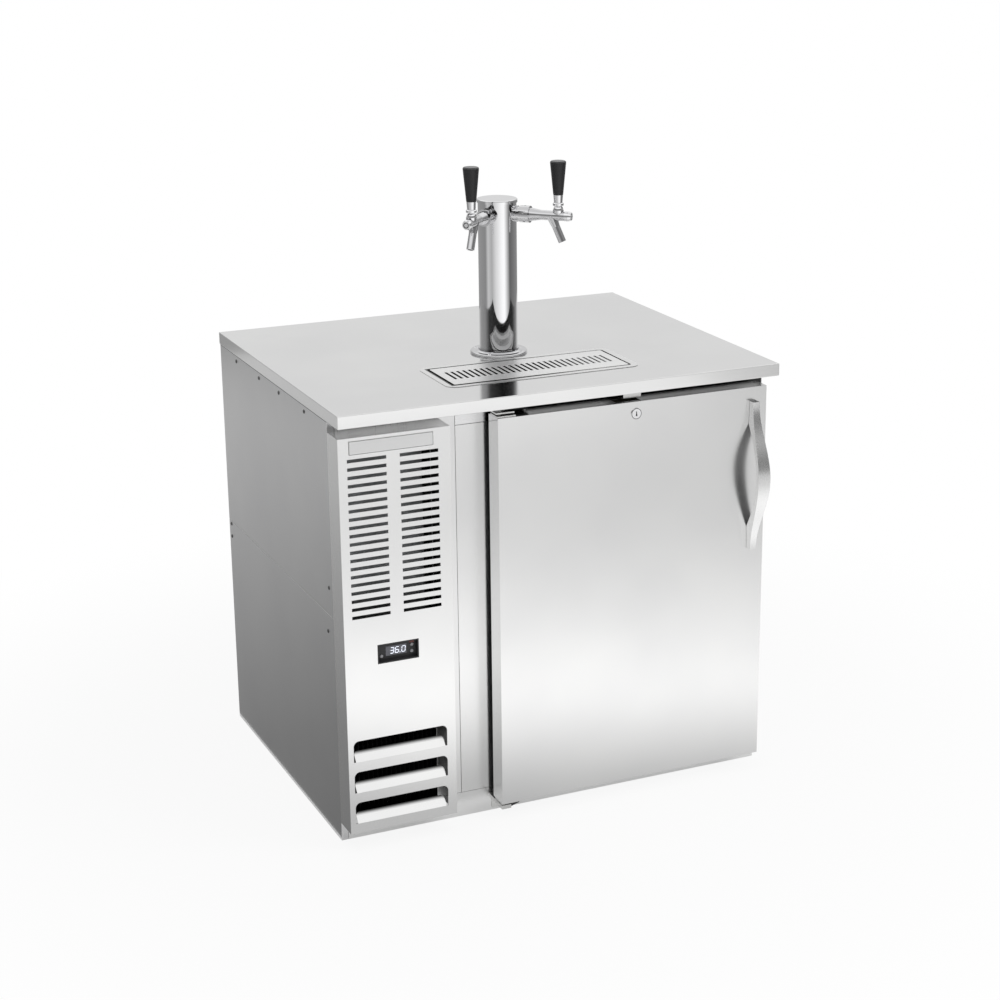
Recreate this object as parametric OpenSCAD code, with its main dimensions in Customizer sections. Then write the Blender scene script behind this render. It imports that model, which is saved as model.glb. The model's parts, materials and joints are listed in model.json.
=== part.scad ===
// Draft beer dispenser: an undercounter keg cooler with a two-faucet tower.
// Millimetres, +Z up. The origin is on the floor under the middle of the
// worktop, and the door side faces -Y.

/* [Cabinet] */
// Width of the worktop, left to right
top_w = 914.4; // [890:0.2:960]
// Depth of the worktop, front to back
top_d = 736; // [720:1:780]
// Thickness of the worktop
top_t = 25; // [24:0.5:36]
// Height of the worktop's upper face above the floor
top_z = 865; // [850:1:900]
// Overhang of the worktop past each side and the back
top_overhang = 1.4; // [0.6:0.1:4]
// Setback of the cabinet face behind the worktop's front edge
face_setback = 64.5; // [62:0.5:76]
// Thickness of the sheet steel
sheet_t = 1.2; // [0.8:0.1:1.6]
// Thickness of the base pan
pan_t = 2; // [1.5:0.5:4]
// Width of the machine bay at the left, up to the seam in the face
bay_w = 251; // [246:1:262]
// Height of the base rail
base_h = 50.6; // [48:0.2:56]
// Height of the top rail
rail_h = 37.3; // [32:0.1:40]
// Gap at each seam in the face
seam = 0.6; // [0.4:0.1:1]
// Width of the folded flange on the side panels' front edges
flange_w = 14; // [10:1:18]
// Height of the joint between the two left side panels
side_joint_z = 457; // [430:1:480]
// Thickness of the insulation behind the keg compartment
back_foam = 52; // [40:1:60]
// Height of the sheet above the machine bay's opening
bay_header_h = 62; // [50:1:80]
// Width of the jamb at the right of the machine bay's opening
bay_jamb_w = 50; // [40:1:60]

/* [Door] */
// Width of the face that shows between the bay's seam and the door
stile_show = 63.4; // [60:0.2:70]
// Width of the face that shows at the right of the door
latch_show = 22; // [18:0.5:30]
// Height of the door's lower edge above the floor
door_z0 = 36.4; // [34:0.2:40]
// Gap between the door and the underside of the worktop
door_top_gap = 18.4; // [17:0.2:22]
// Distance from the cabinet face to the door's front
front_d = 56.6; // [54:0.2:60]
// Thickness of the door without its gasket
door_t = 44; // [40:0.5:46]
// Distance of the gasket inside the door's edge
gasket_inset = 11.5; // [11:0.5:14]
// Width of the gasket
gasket_w = 16; // [12:1:18]
// Gap between the closed gasket and the cabinet face
gasket_gap = 0.3; // [0.2:0.1:0.5]
// Face width between the gasket and the keg compartment's opening
gasket_land = 2; // [1:0.5:4]
// Height of the door liner's raised middle
door_dike = 8; // [5:0.5:10]

/* [Hinges and lock] */
// Distance of the hinge pin from the door's left edge
pin_in = 10; // [9:0.5:11]
// Distance of the hinge pin behind the door's front
pin_back = 20; // [18:0.5:24]
// Radius of the hinge pins
pin_r = 4; // [3:0.25:5]
// Running clearance around the hinge pins
pin_fit = 0.1; // [0.05:0.01:0.1]
// Depth that a hinge pin enters the door
pin_depth = 22; // [16:1:30]
// Thickness of the hinge plates and brackets
hinge_t = 3; // [2.5:0.25:3.5]
// Gap between a hinge plate and its bracket
hinge_gap = 2; // [1.5:0.25:2.5]
// Length of the hinge plates along the door
hinge_l = 38; // [34:1:44]
// Length of the upper bracket's arm along the cabinet face
hinge_arm = 80; // [70:1:90]
// Thickness of the foot that carries the lower pin
foot_t = 8; // [6:0.5:10]
// Width of that foot
foot_w = 20; // [18:1:24]
// Distance of the lock from the door's left edge
lock_in = 288; // [270:1:310]
// Distance of the lock below the door's upper edge
lock_down = 23.7; // [22:0.1:26]
// Radius of the lock's front flange
lock_flange_r = 11; // [10.5:0.1:12]
// Radius of the lock's barrel
lock_barrel_r = 9.5; // [9:0.1:10]
// Radius of the key plug
lock_plug_r = 6; // [5.5:0.1:6.5]
// Length of the lock cam from the lock's axis to its tip
cam_l = 31; // [29.5:0.5:32.5]
// Width of the lock cam
cam_w = 13; // [11:0.5:14]
// Thickness of the lock cam
cam_t = 3; // [2.5:0.25:3.5]

/* [Door handle] */
// Length of the bow handle
handle_l = 304.5; // [280:0.5:340]
// Distance of the handle's middle line from the door's right edge
handle_in = 30.5; // [22:0.5:34]
// Distance of the handle's upper end below the door's upper edge
handle_down = 27.5; // [24:0.5:60]
// Width of the handle at its ends
handle_end_w = 14; // [12:0.5:18]
// Width of the handle at its middle
handle_mid_w = 27; // [24:0.5:32]
// Stand-off of the handle's ends
handle_end_d = 15; // [12:0.5:18]
// Stand-off of the handle's middle
handle_mid_d = 54; // [48:0.5:58]
// Thickness of the bow at its middle
handle_strap = 9; // [7:0.5:11]
// Length of each foot on the door
handle_foot = 46; // [40:1:56]

/* [Machine cover] */
// Width of the machine bay's cover
cover_w = 218.5; // [212:0.5:220]
// Height of the cover's lower edge above the floor
cover_z0 = 38; // [34:1:42]
// Gap between the cover and the underside of the worktop
cover_top_gap = 20; // [16:1:24]
// Thickness of the cover's sheet
cover_t = 1.5; // [1.2:0.1:2]
// Distance of the openings' middle line from the cover's left edge
cover_axis = 105.7; // [104:0.1:110]
// Rows of air slots
slot_rows = 20; // [10:1:20]
// Length of an air slot
slot_l = 75.6; // [70:0.2:80]
// Height of an air slot
slot_h = 6.5; // [5:0.5:8]
// Distance between rows of air slots
slot_pitch = 15.9; // [15:0.1:16]
// Distance between the two columns of air slots
slot_gap = 26.2; // [22:0.2:30]
// Distance of the first row below the cover's upper edge
slot_down = 43; // [40:1:48]
// Width of a louvre opening
louvre_w = 189.5; // [180:0.5:192]
// Height of a louvre opening
louvre_h = 42.5; // [38:0.5:46]
// Distance between louvres
louvre_pitch = 63.2; // [60:0.2:66]
// Height of the lowest louvre above the cover's lower edge
louvre_up = 20.7; // [18:0.1:26]
// Radius of a louvre opening's upper corners
louvre_r = 11; // [8:0.5:14]
// Depth of a louvre's inward blade
louvre_d = 14.5; // [12:0.5:17]
// How much narrower a louvre's blade is than its opening, at each end
louvre_in = 4; // [3:0.5:6]
// Radius of a louvre blade's upper corners
blade_r = 8; // [6:0.5:10]
// Number of louvres
louvre_n = 3; // [2:1:3]

/* [Controller] */
// Width of the controller
ctrl_w = 82.5; // [78:0.5:86]
// Height of the controller
ctrl_h = 38.5; // [36:0.5:42]
// Height of the controller's middle above the cover's lower edge
ctrl_up = 357.2; // [340:0.5:380]
// Depth of the controller's case
ctrl_d = 46; // [40:1:52]
// Recess of the controller's face behind the cover
ctrl_recess = 10; // [8:0.5:12]
// Thickness of the wall around the recess
ctrl_wall = 2; // [1.5:0.25:3]
// Width of the display window
display_w = 42; // [38:0.5:44]
// Height of the display window
display_h = 19; // [17:0.5:22]
// Radius of the push buttons
button_r = 3; // [2.5:0.1:3.4]
// Travel of the push buttons
button_travel = 0.8; // [0.5:0.1:1]

/* [Drip tray] */
// Width of the tray's opening in the worktop
tray_w = 380.5; // [360:0.5:392]
// Depth of the tray's opening, front to back
tray_d = 141; // [134:1:146]
// Distance of the tray's middle to the right of the tower
tray_x = 2; // [0:0.5:4]
// Distance of the tray's front edge behind the worktop's front edge
tray_setback = 112; // [108:1:116]
// Radius of the tray's corners
tray_r = 9; // [8:0.5:14]
// Height of the tray
tray_h = 21; // [18:0.5:22]
// Thickness of the tray's sheet
tray_t = 1.2; // [1:0.1:1.6]
// Width of the drip tray's rim on the worktop
rim_w = 12.7; // [10:0.1:14]
// Thickness of the drip tray's rim
rim_t = 0.8; // [0.6:0.1:1.2]
// Gap between the grate and the tray's wall
grate_gap = 4.5; // [3:0.5:7]
// Thickness of the grate
grate_t = 3; // [2:0.25:4]
// Height of the grate's top above the tray's rim
grate_proud = 0.4; // [0:0.1:1]
// Slots in the grate
grate_slots = 28; // [20:1:28]
// Distance between the grate's slots
grate_pitch = 12.2; // [11:0.1:12.6]
// Width of a grate slot
grate_slot_w = 5; // [4:0.25:6]
// Length of a grate slot
grate_slot_l = 57; // [50:1:70]
// How far the slots lie behind the grate's middle
grate_slot_back = 1.2; // [0:0.2:10]
// Outer radius of the tray's drain spout
drain_r = 10; // [8:0.5:12]

/* [Tower] */
// Distance of the tower's axis in front of the worktop's middle
tower_y = 40; // [36:1:44]
// Height of the tower above the worktop
tower_h = 308.6; // [290:0.2:360]
// Radius of the column
column_r = 38.1; // [38:0.1:42]
// Wall of the column
column_t = 1.6; // [1.2:0.1:2]
// Radius of the floor flange
flange_r = 57.2; // [54:0.2:60]
// Thickness of the floor flange at its rim
flange_rim = 5; // [4:0.25:7]
// Height of the flange's shoulder against the column
flange_neck = 11; // [9:0.5:14]
// Radius of the cap
cap_r = 40; // [39.5:0.1:43]
// Thickness of the cap
cap_t = 7; // [5:0.25:9]
// Radius of the passage for the beer lines under the tower
chase_r = 30; // [26:0.5:32]

/* [Faucets] */
// Depth of the shanks' axis below the top of the tower
shank_down = 28; // [26:0.5:34]
// Angle of each faucet from the front
faucet_angle = 46; // [42:0.5:60]
// Distance of the coupling nut's back from the tower's axis
nut_u0 = 49.2; // [48:0.2:52]
// Length of the coupling nut
nut_l = 20; // [18:0.5:22]
// Radius of the coupling nut
nut_r = 16.5; // [16:0.1:18]
// Radius of the shank's outer thread
shank_head_r = 14.3; // [13.8:0.1:14.4]
// Radius of the shank's stem
shank_r = 11.1; // [10.6:0.1:11.4]
// Radius of the shank's bore
shank_bore_r = 3.2; // [2.4:0.1:4]
// Distance of the faucet's front end from the tower's axis
body_u1 = 141; // [139:0.5:144]
// Radius of the faucet body's barrel
body_r = 9.2; // [9:0.1:9.6]
// Radius of the valve bore
valve_bore_r = 6.3; // [6.1:0.1:6.6]
// Gap around the valve shaft
valve_gap = 0.3; // [0.2:0.05:0.4]
// Length of the front plug
plug_l = 12.7; // [10:0.1:16]
// Radius of the front plug
plug_r = 9.8; // [9.6:0.1:10.4]
// Distance of the lever's axis from the tower's axis
lever_u = 127; // [126:0.25:128]
// Height of the lever's ball above the shank's axis
lever_z = 12; // [11.8:0.1:12.4]
// Radius of the lever's ball
ball_r = 7.7; // [7.4:0.05:7.75]
// Gap around the lever's ball
ball_gap = 0.3; // [0.25:0.05:0.4]
// Wall of the bonnet's dome
dome_t = 1.8; // [1.6:0.1:2]
// Radius of the bonnet's ring
bonnet_r = 10.6; // [10.4:0.1:11]
// Radius of the lever's neck
neck_r = 3.8; // [3.4:0.1:4]
// Radius of the lever's finger in the valve shaft
finger_r = 2.4; // [2:0.1:2.6]
// Swing of the lever, in degrees
lever_swing = 38; // [30:1:38]
// Radius of the spout
spout_r = 7.75; // [7:0.25:8.5]
// Radius of the spout's bore
spout_bore_r = 5.2; // [4.5:0.1:5.6]
// Length of the spout from the shank's axis
spout_l = 55; // [48:1:62]
// Lean of the spout away from the tower, in degrees
spout_lean = 24; // [18:1:28]
// Distance of the spout's root from the tower's axis
spout_u = 113; // [110:0.5:116]
// Height of the ferrule
ferrule_h = 15; // [12:0.5:18]
// Height of the tap handle
tap_h = 66; // [60:1:80]
// Radius of the tap handle at its foot
tap_r0 = 9.6; // [9:0.1:10.4]
// Radius of the tap handle at its top
tap_r1 = 15.6; // [14:0.1:18]
// Outer radius of the beer lines
line_r = 5.5; // [4.8:0.1:5.8]

/* [Machine bay] */
// Width and height of the condenser coil
condenser_w = 200; // [190:1:210]
// Depth of the coils, front to back
coil_d = 44; // [38:1:48]
// Radius of the condenser fan
fan_r = 80; // [74:0.5:84]
// Radius of the fan motors
motor_r = 28; // [24:0.5:32]
// Length of the fan motors
motor_l = 40; // [36:1:44]
// Radius of the compressor's shell
comp_r = 76; // [68:1:82]
// Height of the compressor's shell
comp_h = 172; // [150:1:190]
// Width of the evaporator's cover
evap_w = 360; // [320:1:400]
// Height of the evaporator's cover
evap_h = 176; // [164:1:200]
// Depth of the evaporator's cover
evap_d = 116; // [112:1:126]
// Radius of the evaporator fan
evap_fan_r = 58; // [50:0.5:62]
// Radius of the suction line
suction_r = 6; // [4.8:0.1:7]

/* [Hidden] */
$fn = 48;

// Margin by which a cut runs past the face it leaves
over = 1;
// Easy clearance between pieces that only pass each other
ease = 0.3;

// Cabinet planes
cab_x = top_w / 2 - top_overhang;
back_y = top_d / 2 - top_overhang;
face_y = face_setback - top_d / 2;
front_y = face_y - front_d;
under_z = top_z - top_t;
seam_x = bay_w - cab_x;
rail_z = under_z - rail_h;
in_y0 = face_y + sheet_t;
in_y1 = back_y - sheet_t;
in_x = cab_x - sheet_t;

// Door planes
door_x0 = seam_x + stile_show;
door_x1 = cab_x - latch_show;
door_z1 = under_z - door_top_gap;
door_back_y = front_y + door_t;
pin_x = door_x0 + pin_in;
pin_y = front_y + pin_back;
hinge_edge = 3;

// Keg compartment
land = gasket_inset + gasket_w + gasket_land;
keg_x0 = door_x0 + land;
keg_x1 = door_x1 - land;
keg_z0 = door_z0 + land;
keg_z1 = door_z1 - land;
keg_y1 = in_y1 - back_foam - sheet_t;
foam_x0 = seam_x - seam / 2;
floor_sheet = 2;
floor_rib = 4;
floor_ribs = 5;
floor_rib_w = 24;

// Lock
lock_x = door_x0 + lock_in;
lock_z = door_z1 - lock_down;
lock_barrel_l = 20;
lock_flange_t = 1.6;
cam_gap = 2;
cam_y = front_y + lock_barrel_l + cam_gap;
tail_r = 3.2;
pocket_margin = 8;
pocket_y0 = front_y + lock_barrel_l / 2;
pocket_y1 = cam_y + cam_t + pocket_margin;
strike_t = 2.5;
strike_w = 38;
strike_clear = 2;
strike_y = cam_y - strike_clear - strike_t;
strike_gap = 3.2;
strike_drop = door_z1 + strike_gap;
plug_proud = 0.5;
tail_end = 2;
keyway = [1.4, 6, 7.2];

// Machine cover and controller
cover_x0 = -cab_x;
cover_z1 = under_z - cover_top_gap;
cover_mid = cover_x0 + cover_axis;
louvre_slope = 51;
ctrl_z = cover_z0 + ctrl_up;
ctrl_fit = 0.25;
ctrl_face_y = front_y + ctrl_recess;
button_stand = 1.6;
button_depth = 6;
button_fit = 0.2;
button_step = 0.3;
button_rim = 0.6;
button_edge = 11;
button_high = 6;
button_low = -7;
button_set_at = [button_edge - ctrl_w / 2, button_edge - ctrl_h / 2];
button_up_at = [ctrl_w / 2 - button_edge, button_high];
button_down_at = [ctrl_w / 2 - button_edge, button_low];
display_at = [-1, 0];
display_t = 1;

// Drip tray
tray_y = tray_setback + tray_d / 2 - top_d / 2;
tray_floor_z = top_z - tray_h + tray_t;
tray_fit = 0.2;
cut_out = 4;
grate_z0 = top_z + rim_t + grate_proud - grate_t;
grate_rest = 0.2;
post_r = 6;
post_in = 14;
drain_wall = 1.5;
drain_bore_r = drain_r - drain_wall;
strainer_r = 1.5;
strainer_ring = 5;
strainer_count = 6;
line_drop = 14;
drain_end_z = keg_z1 - line_drop;

// Tower and faucets
tower_at = [0, -tower_y, top_z];
column_in = column_r - column_t;
column_fit = 0.1;
shank_z = top_z + tower_h - shank_down;
faucet_turn = [-90 - faucet_angle, faucet_angle - 90];
flange_collar_h = 28;
flange_shoulder = 3;
flange_rise = 2;
shank_flange_r = 15.5;
shank_flange_t = 6;
shank_head_u0 = column_r + shank_flange_t;
shank_reach = 13;
shank_u1 = nut_u0 + shank_reach;
tail_u = 21;
line_bend = 9;
line_u = tail_u - line_bend;
line_bore_r = 2.4;
line_end_z = keg_z1 - line_drop;
joint_gap = 0.2;
tail_flange_l = 3.6;
shank_nut_u = 26;
shank_nut_l = 6.5;
shank_nut_r = 15;
cap_edge = 2;
cap_clear = 2;
cap_plug_h = shank_down - cap_t - shank_nut_r - cap_clear;
nut_lip = 3.7;
nut_lip_r = body_r + nut_lip;
nut_u1 = nut_u0 + nut_l;
nut_hole_r = 2.2;
nut_hole_d = 1.5;
nut_holes = 5;
nut_clear = 3;
body_cone_u = 92;
body_swell = 0.4;
seat_gap = 0.1;
spout_swell = 2.6;
spout_taper = 0.42;
plug_straight = 0.6;
plug_edge = 2;
boss_r = 8.8;
boss_top = 10;
bonnet_fit = 0.2;
bonnet_z0 = 6.5;
socket_r = ball_r + ball_gap;
dome_r = socket_r + dome_t;
neck_gap = 0.8;
neck_slot = 2 * neck_r + neck_gap;
skirt_gap = 0.5;
skirt_r = dome_r + skirt_gap;
skirt_up = 8.2;
skirt_z0 = lever_z + skirt_up;
skirt_lip = 0.2;
skirt_cone = 1.4;
collar_edge = 1.6;
lever_up = 14.4;
lever_top = lever_z + lever_up;
finger_end = 2;
finger_l = lever_z + finger_end;
ferrule_r0 = 8.2;
ferrule_step = 0.2;
ferrule_top = lever_top + ferrule_h;
tap_foot = [0.4, 3];
tap_shoulder = 4;
tap_crown = 2;
valve_head_l = 6;
valve_in = 25;
valve_u0 = nut_u0 + valve_in;
valve_end_gap = 2.5;
valve_u1 = body_u1 - valve_end_gap;
valve_rod_r = 4.5;
valve_guide_l = 5;
valve_flat_z = lever_z - ball_r - valve_gap;
finger_back = 0.8;
finger_front = 4.3;
slot_back = finger_r + finger_back;
slot_front = finger_r + finger_front;
finger_slot_w = 2 * (finger_r + ease);

// Machine bay
bay_mid = (seam_x - cab_x) / 2;
coil_back = 14;
coil_y = face_y + coil_back;
coil_z = pan_t;
coil_foot = 10;
coil_leg_in = 30;
coil_leg_w = 10;
coil_leg_inset = 2;
condenser_rows = 8;
coil_tube_r = 4.5;
coil_end_t = 2;
coil_fins = 16;
fin_t = 0.8;
fin_inset = 1;
fan_at = [bay_mid, coil_y + coil_d, coil_z + coil_foot + condenser_w / 2];
shroud_t = 1.5;
shroud_ring = 18;
shroud_inset = 2;
tip_gap = 4;
fan_hub_r = 16;
fan_hub_l = 18;
fan_hub_wall = 3;
fan_hub_hollow = 4;
blade_root = 2;
fan_back = 4;
shaft_r = 4;
shaft_fit = 0.1;
shaft_in = 20;
fan_blades = 4;
blade_t = 1.5;
blade_w = 42;
blade_pitch = 24;
spider_t = 3;
spider_w = 10;
spider_arms = 4;
spider_turn = 45;
spider_clear = 1;
comp_y = 130;
comp_foot_z = 14;
comp_band = 5;
comp_round = 34;
comp_seam = 0.45;
comp_base_d = 0.8;
comp_base_t = 3;
comp_foot_at = [0.85, 0.65];
comp_foot_r = 9;
comp_box = [40, 52, 58];
comp_box_out = 24;
comp_box_up = 0.3;
evap_mid = (keg_x0 + keg_x1) / 2;
evap_y0 = keg_y1 - evap_d;
evap_drop = 18;
evap_z1 = keg_z1 - evap_drop;
evap_z0 = evap_z1 - evap_h;
evap_t = 1.5;
evap_fan_in = 10;
evap_at = [evap_mid, evap_y0 + evap_fan_in, (evap_z0 + evap_z1) / 2];
evap_lift = 10;
evap_rows = 5;
evap_side = 20;
evap_head = 20;
evap_coil_w = evap_w - 2 * evap_side;
evap_coil_h = evap_h - evap_lift - evap_head;
evap_coil_x = evap_mid - evap_coil_w / 2;
suction_x = evap_coil_x + coil_tail(evap_coil_h, evap_rows);
suction_y = keg_y1 - coil_d / 2;
suction_z = evap_z0 + evap_lift + coil_bend(evap_coil_h, evap_rows);
line_turn = 16;
suction_hole = suction_r + over;
push_share = 0.7;
fitting_swell = 1.25;
gland_r = 9;
gland_z = 90;
gland_in = 6;
gland_out = 1.2;
gland_lip = 3;
gland_wall = 4;

// Fasteners
screw_r = 4.2;
screw_h = 1.3;
screw_drop = 12.5;
screw_row_z = under_z - screw_drop;
screw_places = [112, 264, 390, 542];
screw_row = [for (d = screw_places) back_y - d];
screw_edge = 15;
screw_front = 20;
screw_pair = 14;

function bump(t) = (1 + cos(360 * t)) / 2;

// A box between two corners
module box(low, high) {
    translate(low) cube(high - low);
}

// A rectangle with round corners, about its middle
module round_rect(w, d, r) {
    square([w - 2 * r, d], center = true);
    square([w, d - 2 * r], center = true);
    for (x = [-1, 1], y = [-1, 1])
        translate([x * (w / 2 - r), y * (d / 2 - r)]) circle(r);
}

// A round bar between two points
module rod(a, b, r) {
    run = b - a;
    flat = norm([run[0], run[1]]);
    translate(a)
        rotate([0, atan2(flat, run[2]), atan2(run[1], run[0])])
            cylinder(r = r, h = norm(run));
}

// A tube along points, with a brazed ball fitting at each corner
module tube_run(points, r) {
    for (i = [0 : len(points) - 2]) rod(points[i], points[i + 1], r);
    for (i = [1 : len(points) - 2]) translate(points[i]) sphere(r * fitting_swell);
}

// Places children on one faucet: local X runs out along the shank's axis
module at_faucet(side) {
    translate([tower_at[0], tower_at[1], shank_z]) rotate([0, 0, faucet_turn[side]]) children();
}

// Turns a profile of (distance, radius) about local X
module turned_x() {
    rotate([90, 0, 90]) rotate_extrude() rotate([0, 0, 90]) mirror([0, 1]) children();
}

// A solid bar along local X
module bar_x(u0, u1, r) {
    translate([u0, 0, 0]) rotate([0, 90, 0]) cylinder(r = r, h = u1 - u0);
}

// A solid bar along Y
module bar_y(x, y0, y1, z, r) {
    translate([x, y0, z]) rotate([-90, 0, 0]) cylinder(r = r, h = y1 - y0);
}

module worktop() {
    color("gainsboro") difference() {
        box([-top_w / 2, -top_d / 2, under_z], [top_w / 2, top_d / 2, top_z]);
        translate([tray_x, tray_y, under_z - over])
            linear_extrude(top_t + 2 * over)
                round_rect(tray_w + 2 * cut_out, tray_d + 2 * cut_out, tray_r + cut_out);
        translate([0, -tower_y, under_z - over]) cylinder(r = chase_r, h = top_t + 2 * over);
    }
}

// Holes of the strainer in the tray's floor
module strainer_holes(deep) {
    cylinder(r = strainer_r, h = deep);
    for (i = [0 : strainer_count - 1])
        rotate(i * 360 / strainer_count) translate([strainer_ring, 0, 0]) cylinder(r = strainer_r, h = deep);
}

module drip_tray() {
    pan_w = tray_w - 2 * tray_fit;
    pan_d = tray_d - 2 * tray_fit;
    pan_r = tray_r - tray_fit;
    color("silver") translate([tray_x, tray_y, 0]) difference() {
        union() {
            difference() {
                union() {
                    translate([0, 0, top_z - tray_h]) linear_extrude(tray_h) round_rect(pan_w, pan_d, pan_r);
                    translate([0, 0, top_z]) linear_extrude(rim_t)
                        round_rect(tray_w + 2 * rim_w, tray_d + 2 * rim_w, tray_r + rim_w);
                }
                translate([0, 0, tray_floor_z]) linear_extrude(tray_h)
                    round_rect(pan_w - 2 * tray_t, pan_d - 2 * tray_t, pan_r - tray_t);
            }
            for (x = [-1, 1], y = [-1, 1])
                translate([x * (pan_w / 2 - post_in), y * (pan_d / 2 - post_in), top_z - tray_h])
                    cylinder(r = post_r, h = grate_z0 - grate_rest - top_z + tray_h);
            translate([0, 0, drain_end_z]) cylinder(r = drain_r, h = tray_floor_z - drain_end_z);
        }
        translate([0, 0, drain_end_z - over])
            cylinder(r = drain_bore_r, h = top_z - tray_h - drain_end_z + over);
        translate([0, 0, top_z - tray_h - over]) strainer_holes(tray_t + 2 * over);
    }
}

module drip_grate() {
    plate_w = tray_w - 2 * (tray_fit + tray_t + grate_gap);
    plate_d = tray_d - 2 * (tray_fit + tray_t + grate_gap);
    first = -grate_pitch * (grate_slots - 1) / 2;
    color("lightgray") translate([tray_x, tray_y, grate_z0]) difference() {
        linear_extrude(grate_t) round_rect(plate_w, plate_d, tray_r - tray_t - grate_gap);
        for (i = [0 : grate_slots - 1])
            translate([first + i * grate_pitch - grate_slot_w / 2, grate_slot_back - grate_slot_l / 2, -over])
                cube([grate_slot_w, grate_slot_l, grate_t + 2 * over]);
    }
}

// A side panel's folded section: the flat sheet and its front flange
module side_section() {
    translate([-cab_x, face_y]) square([sheet_t, back_y - face_y]);
    translate([-cab_x, face_y]) square([flange_w, sheet_t]);
}

module side_left_upper() {
    color("silver") translate([0, 0, side_joint_z + seam / 2])
        linear_extrude(under_z - side_joint_z - seam / 2) side_section();
}

module side_left_lower() {
    color("silver") linear_extrude(side_joint_z - seam / 2) side_section();
}

module side_right() {
    color("silver") {
        box([in_x, face_y, 0], [cab_x, back_y, under_z]);
        box([keg_x1, face_y, base_h + seam / 2], [cab_x, in_y0, rail_z - seam / 2]);
    }
}

module rear_panel() {
    color("darkgray") difference() {
        box([-in_x, in_y1, 0], [in_x, back_y, under_z]);
        bar_y(bay_mid, in_y1 - over, back_y + over, gland_z, gland_r + ease);
    }
}

module base_pan() {
    color("darkgray") box([-in_x, in_y0, 0], [in_x, in_y1, pan_t]);
}

module top_rail() {
    color("silver") box([seam_x + seam / 2, face_y, rail_z + seam / 2], [in_x, in_y0, under_z]);
}

module bay_frame() {
    web_x1 = seam_x - seam / 2;
    color("silver") difference() {
        union() {
            box([-cab_x + flange_w + seam, face_y, under_z - bay_header_h], [web_x1, in_y0, under_z]);
            box([web_x1 - bay_jamb_w, face_y, base_h + seam / 2], [web_x1, in_y0, under_z]);
            box([web_x1 - sheet_t, in_y0, pan_t], [web_x1, in_y1, under_z]);
        }
        rod([web_x1 - sheet_t - over, suction_y, suction_z],
            [web_x1 + over, suction_y, suction_z], suction_hole);
    }
}

module hinge_stile() {
    color("silver") box([seam_x + seam / 2, face_y, base_h + seam / 2], [keg_x0, in_y0, rail_z - seam / 2]);
}

module base_rail() {
    color("silver") box([-cab_x + flange_w + seam, face_y, 0], [in_x, in_y0, base_h - seam / 2]);
}

// Foam slabs round the keg compartment
module insulation() {
    color("khaki") {
        box([foam_x0, in_y0, pan_t], [in_x, in_y1, keg_z0 - sheet_t]);
        difference() {
            box([foam_x0, in_y0, keg_z1 + sheet_t], [in_x, in_y1, under_z]);
            translate([0, -tower_y, keg_z1]) cylinder(r = chase_r, h = under_z - keg_z1 + over);
            translate([tray_x, tray_y, keg_z1]) cylinder(r = drain_r + ease, h = under_z - keg_z1 + over);
        }
        box([keg_x0 - sheet_t, keg_y1 + sheet_t, keg_z0 - sheet_t],
            [keg_x1 + sheet_t, in_y1, keg_z1 + sheet_t]);
        difference() {
            box([foam_x0, in_y0, keg_z0 - sheet_t], [keg_x0 - sheet_t, in_y1, keg_z1 + sheet_t]);
            rod([foam_x0 - over, suction_y, suction_z], [keg_x0, suction_y, suction_z], suction_hole);
        }
        box([keg_x1 + sheet_t, in_y0, keg_z0 - sheet_t], [in_x, in_y1, keg_z1 + sheet_t]);
    }
}

module inner_liner() {
    color("whitesmoke") difference() {
        union() {
            box([keg_x0 - sheet_t, in_y0, keg_z0 - sheet_t],
                [keg_x1 + sheet_t, keg_y1 + sheet_t, keg_z1 + sheet_t]);
            box([keg_x0 + seam, face_y, keg_z1], [keg_x1 - seam, in_y0 + over, rail_z - seam / 2]);
            box([keg_x0 + seam, face_y, base_h + seam / 2], [keg_x1 - seam, in_y0 + over, keg_z0]);
        }
        box([keg_x0, face_y - over, keg_z0], [keg_x1, keg_y1, keg_z1]);
        box([keg_x0 - over, in_y0, keg_z1 + sheet_t], [keg_x1 + over, in_y0 + 2 * over, under_z]);
        box([keg_x0 - over, in_y0, 0], [keg_x1 + over, in_y0 + 2 * over, keg_z0 - sheet_t]);
        translate([0, -tower_y, keg_z1 - over]) cylinder(r = chase_r, h = sheet_t + 2 * over);
        translate([tray_x, tray_y, keg_z1 - over]) cylinder(r = drain_r + ease, h = sheet_t + 2 * over);
        rod([keg_x0 - sheet_t - over, suction_y, suction_z], [keg_x0 + over, suction_y, suction_z],
            suction_hole);
    }
}

// Floor plate with the runners that kegs slide on
module keg_floor() {
    x0 = keg_x0 + seam;
    x1 = keg_x1 - seam;
    step = (x1 - x0) / floor_ribs;
    color("silver") {
        box([x0, in_y0 + over, keg_z0], [x1, keg_y1 - seam, keg_z0 + floor_sheet]);
        for (i = [0 : floor_ribs - 1])
            translate([x0 + (i + 0.5) * step - floor_rib_w / 2, in_y0 + over, keg_z0])
                cube([floor_rib_w, keg_y1 - seam - in_y0 - over, floor_sheet + floor_rib]);
    }
}

// A flat shape with round upper corners and square lower ones
module round_top(w, h, r) {
    translate([-w / 2, 0]) square([w, h - r]);
    translate([r - w / 2, 0]) square([w - 2 * r, h]);
    for (x = [r - w / 2, w / 2 - r]) translate([x, h - r]) circle(r);
}

// The blade that a louvre turns inwards from its lower edge
module louvre_blade() {
    translate([0, 0, -cover_t]) rotate([louvre_slope, 0, 0]) linear_extrude(cover_t)
        round_top(louvre_w - 2 * louvre_in, louvre_d / cos(louvre_slope), blade_r);
}

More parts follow.
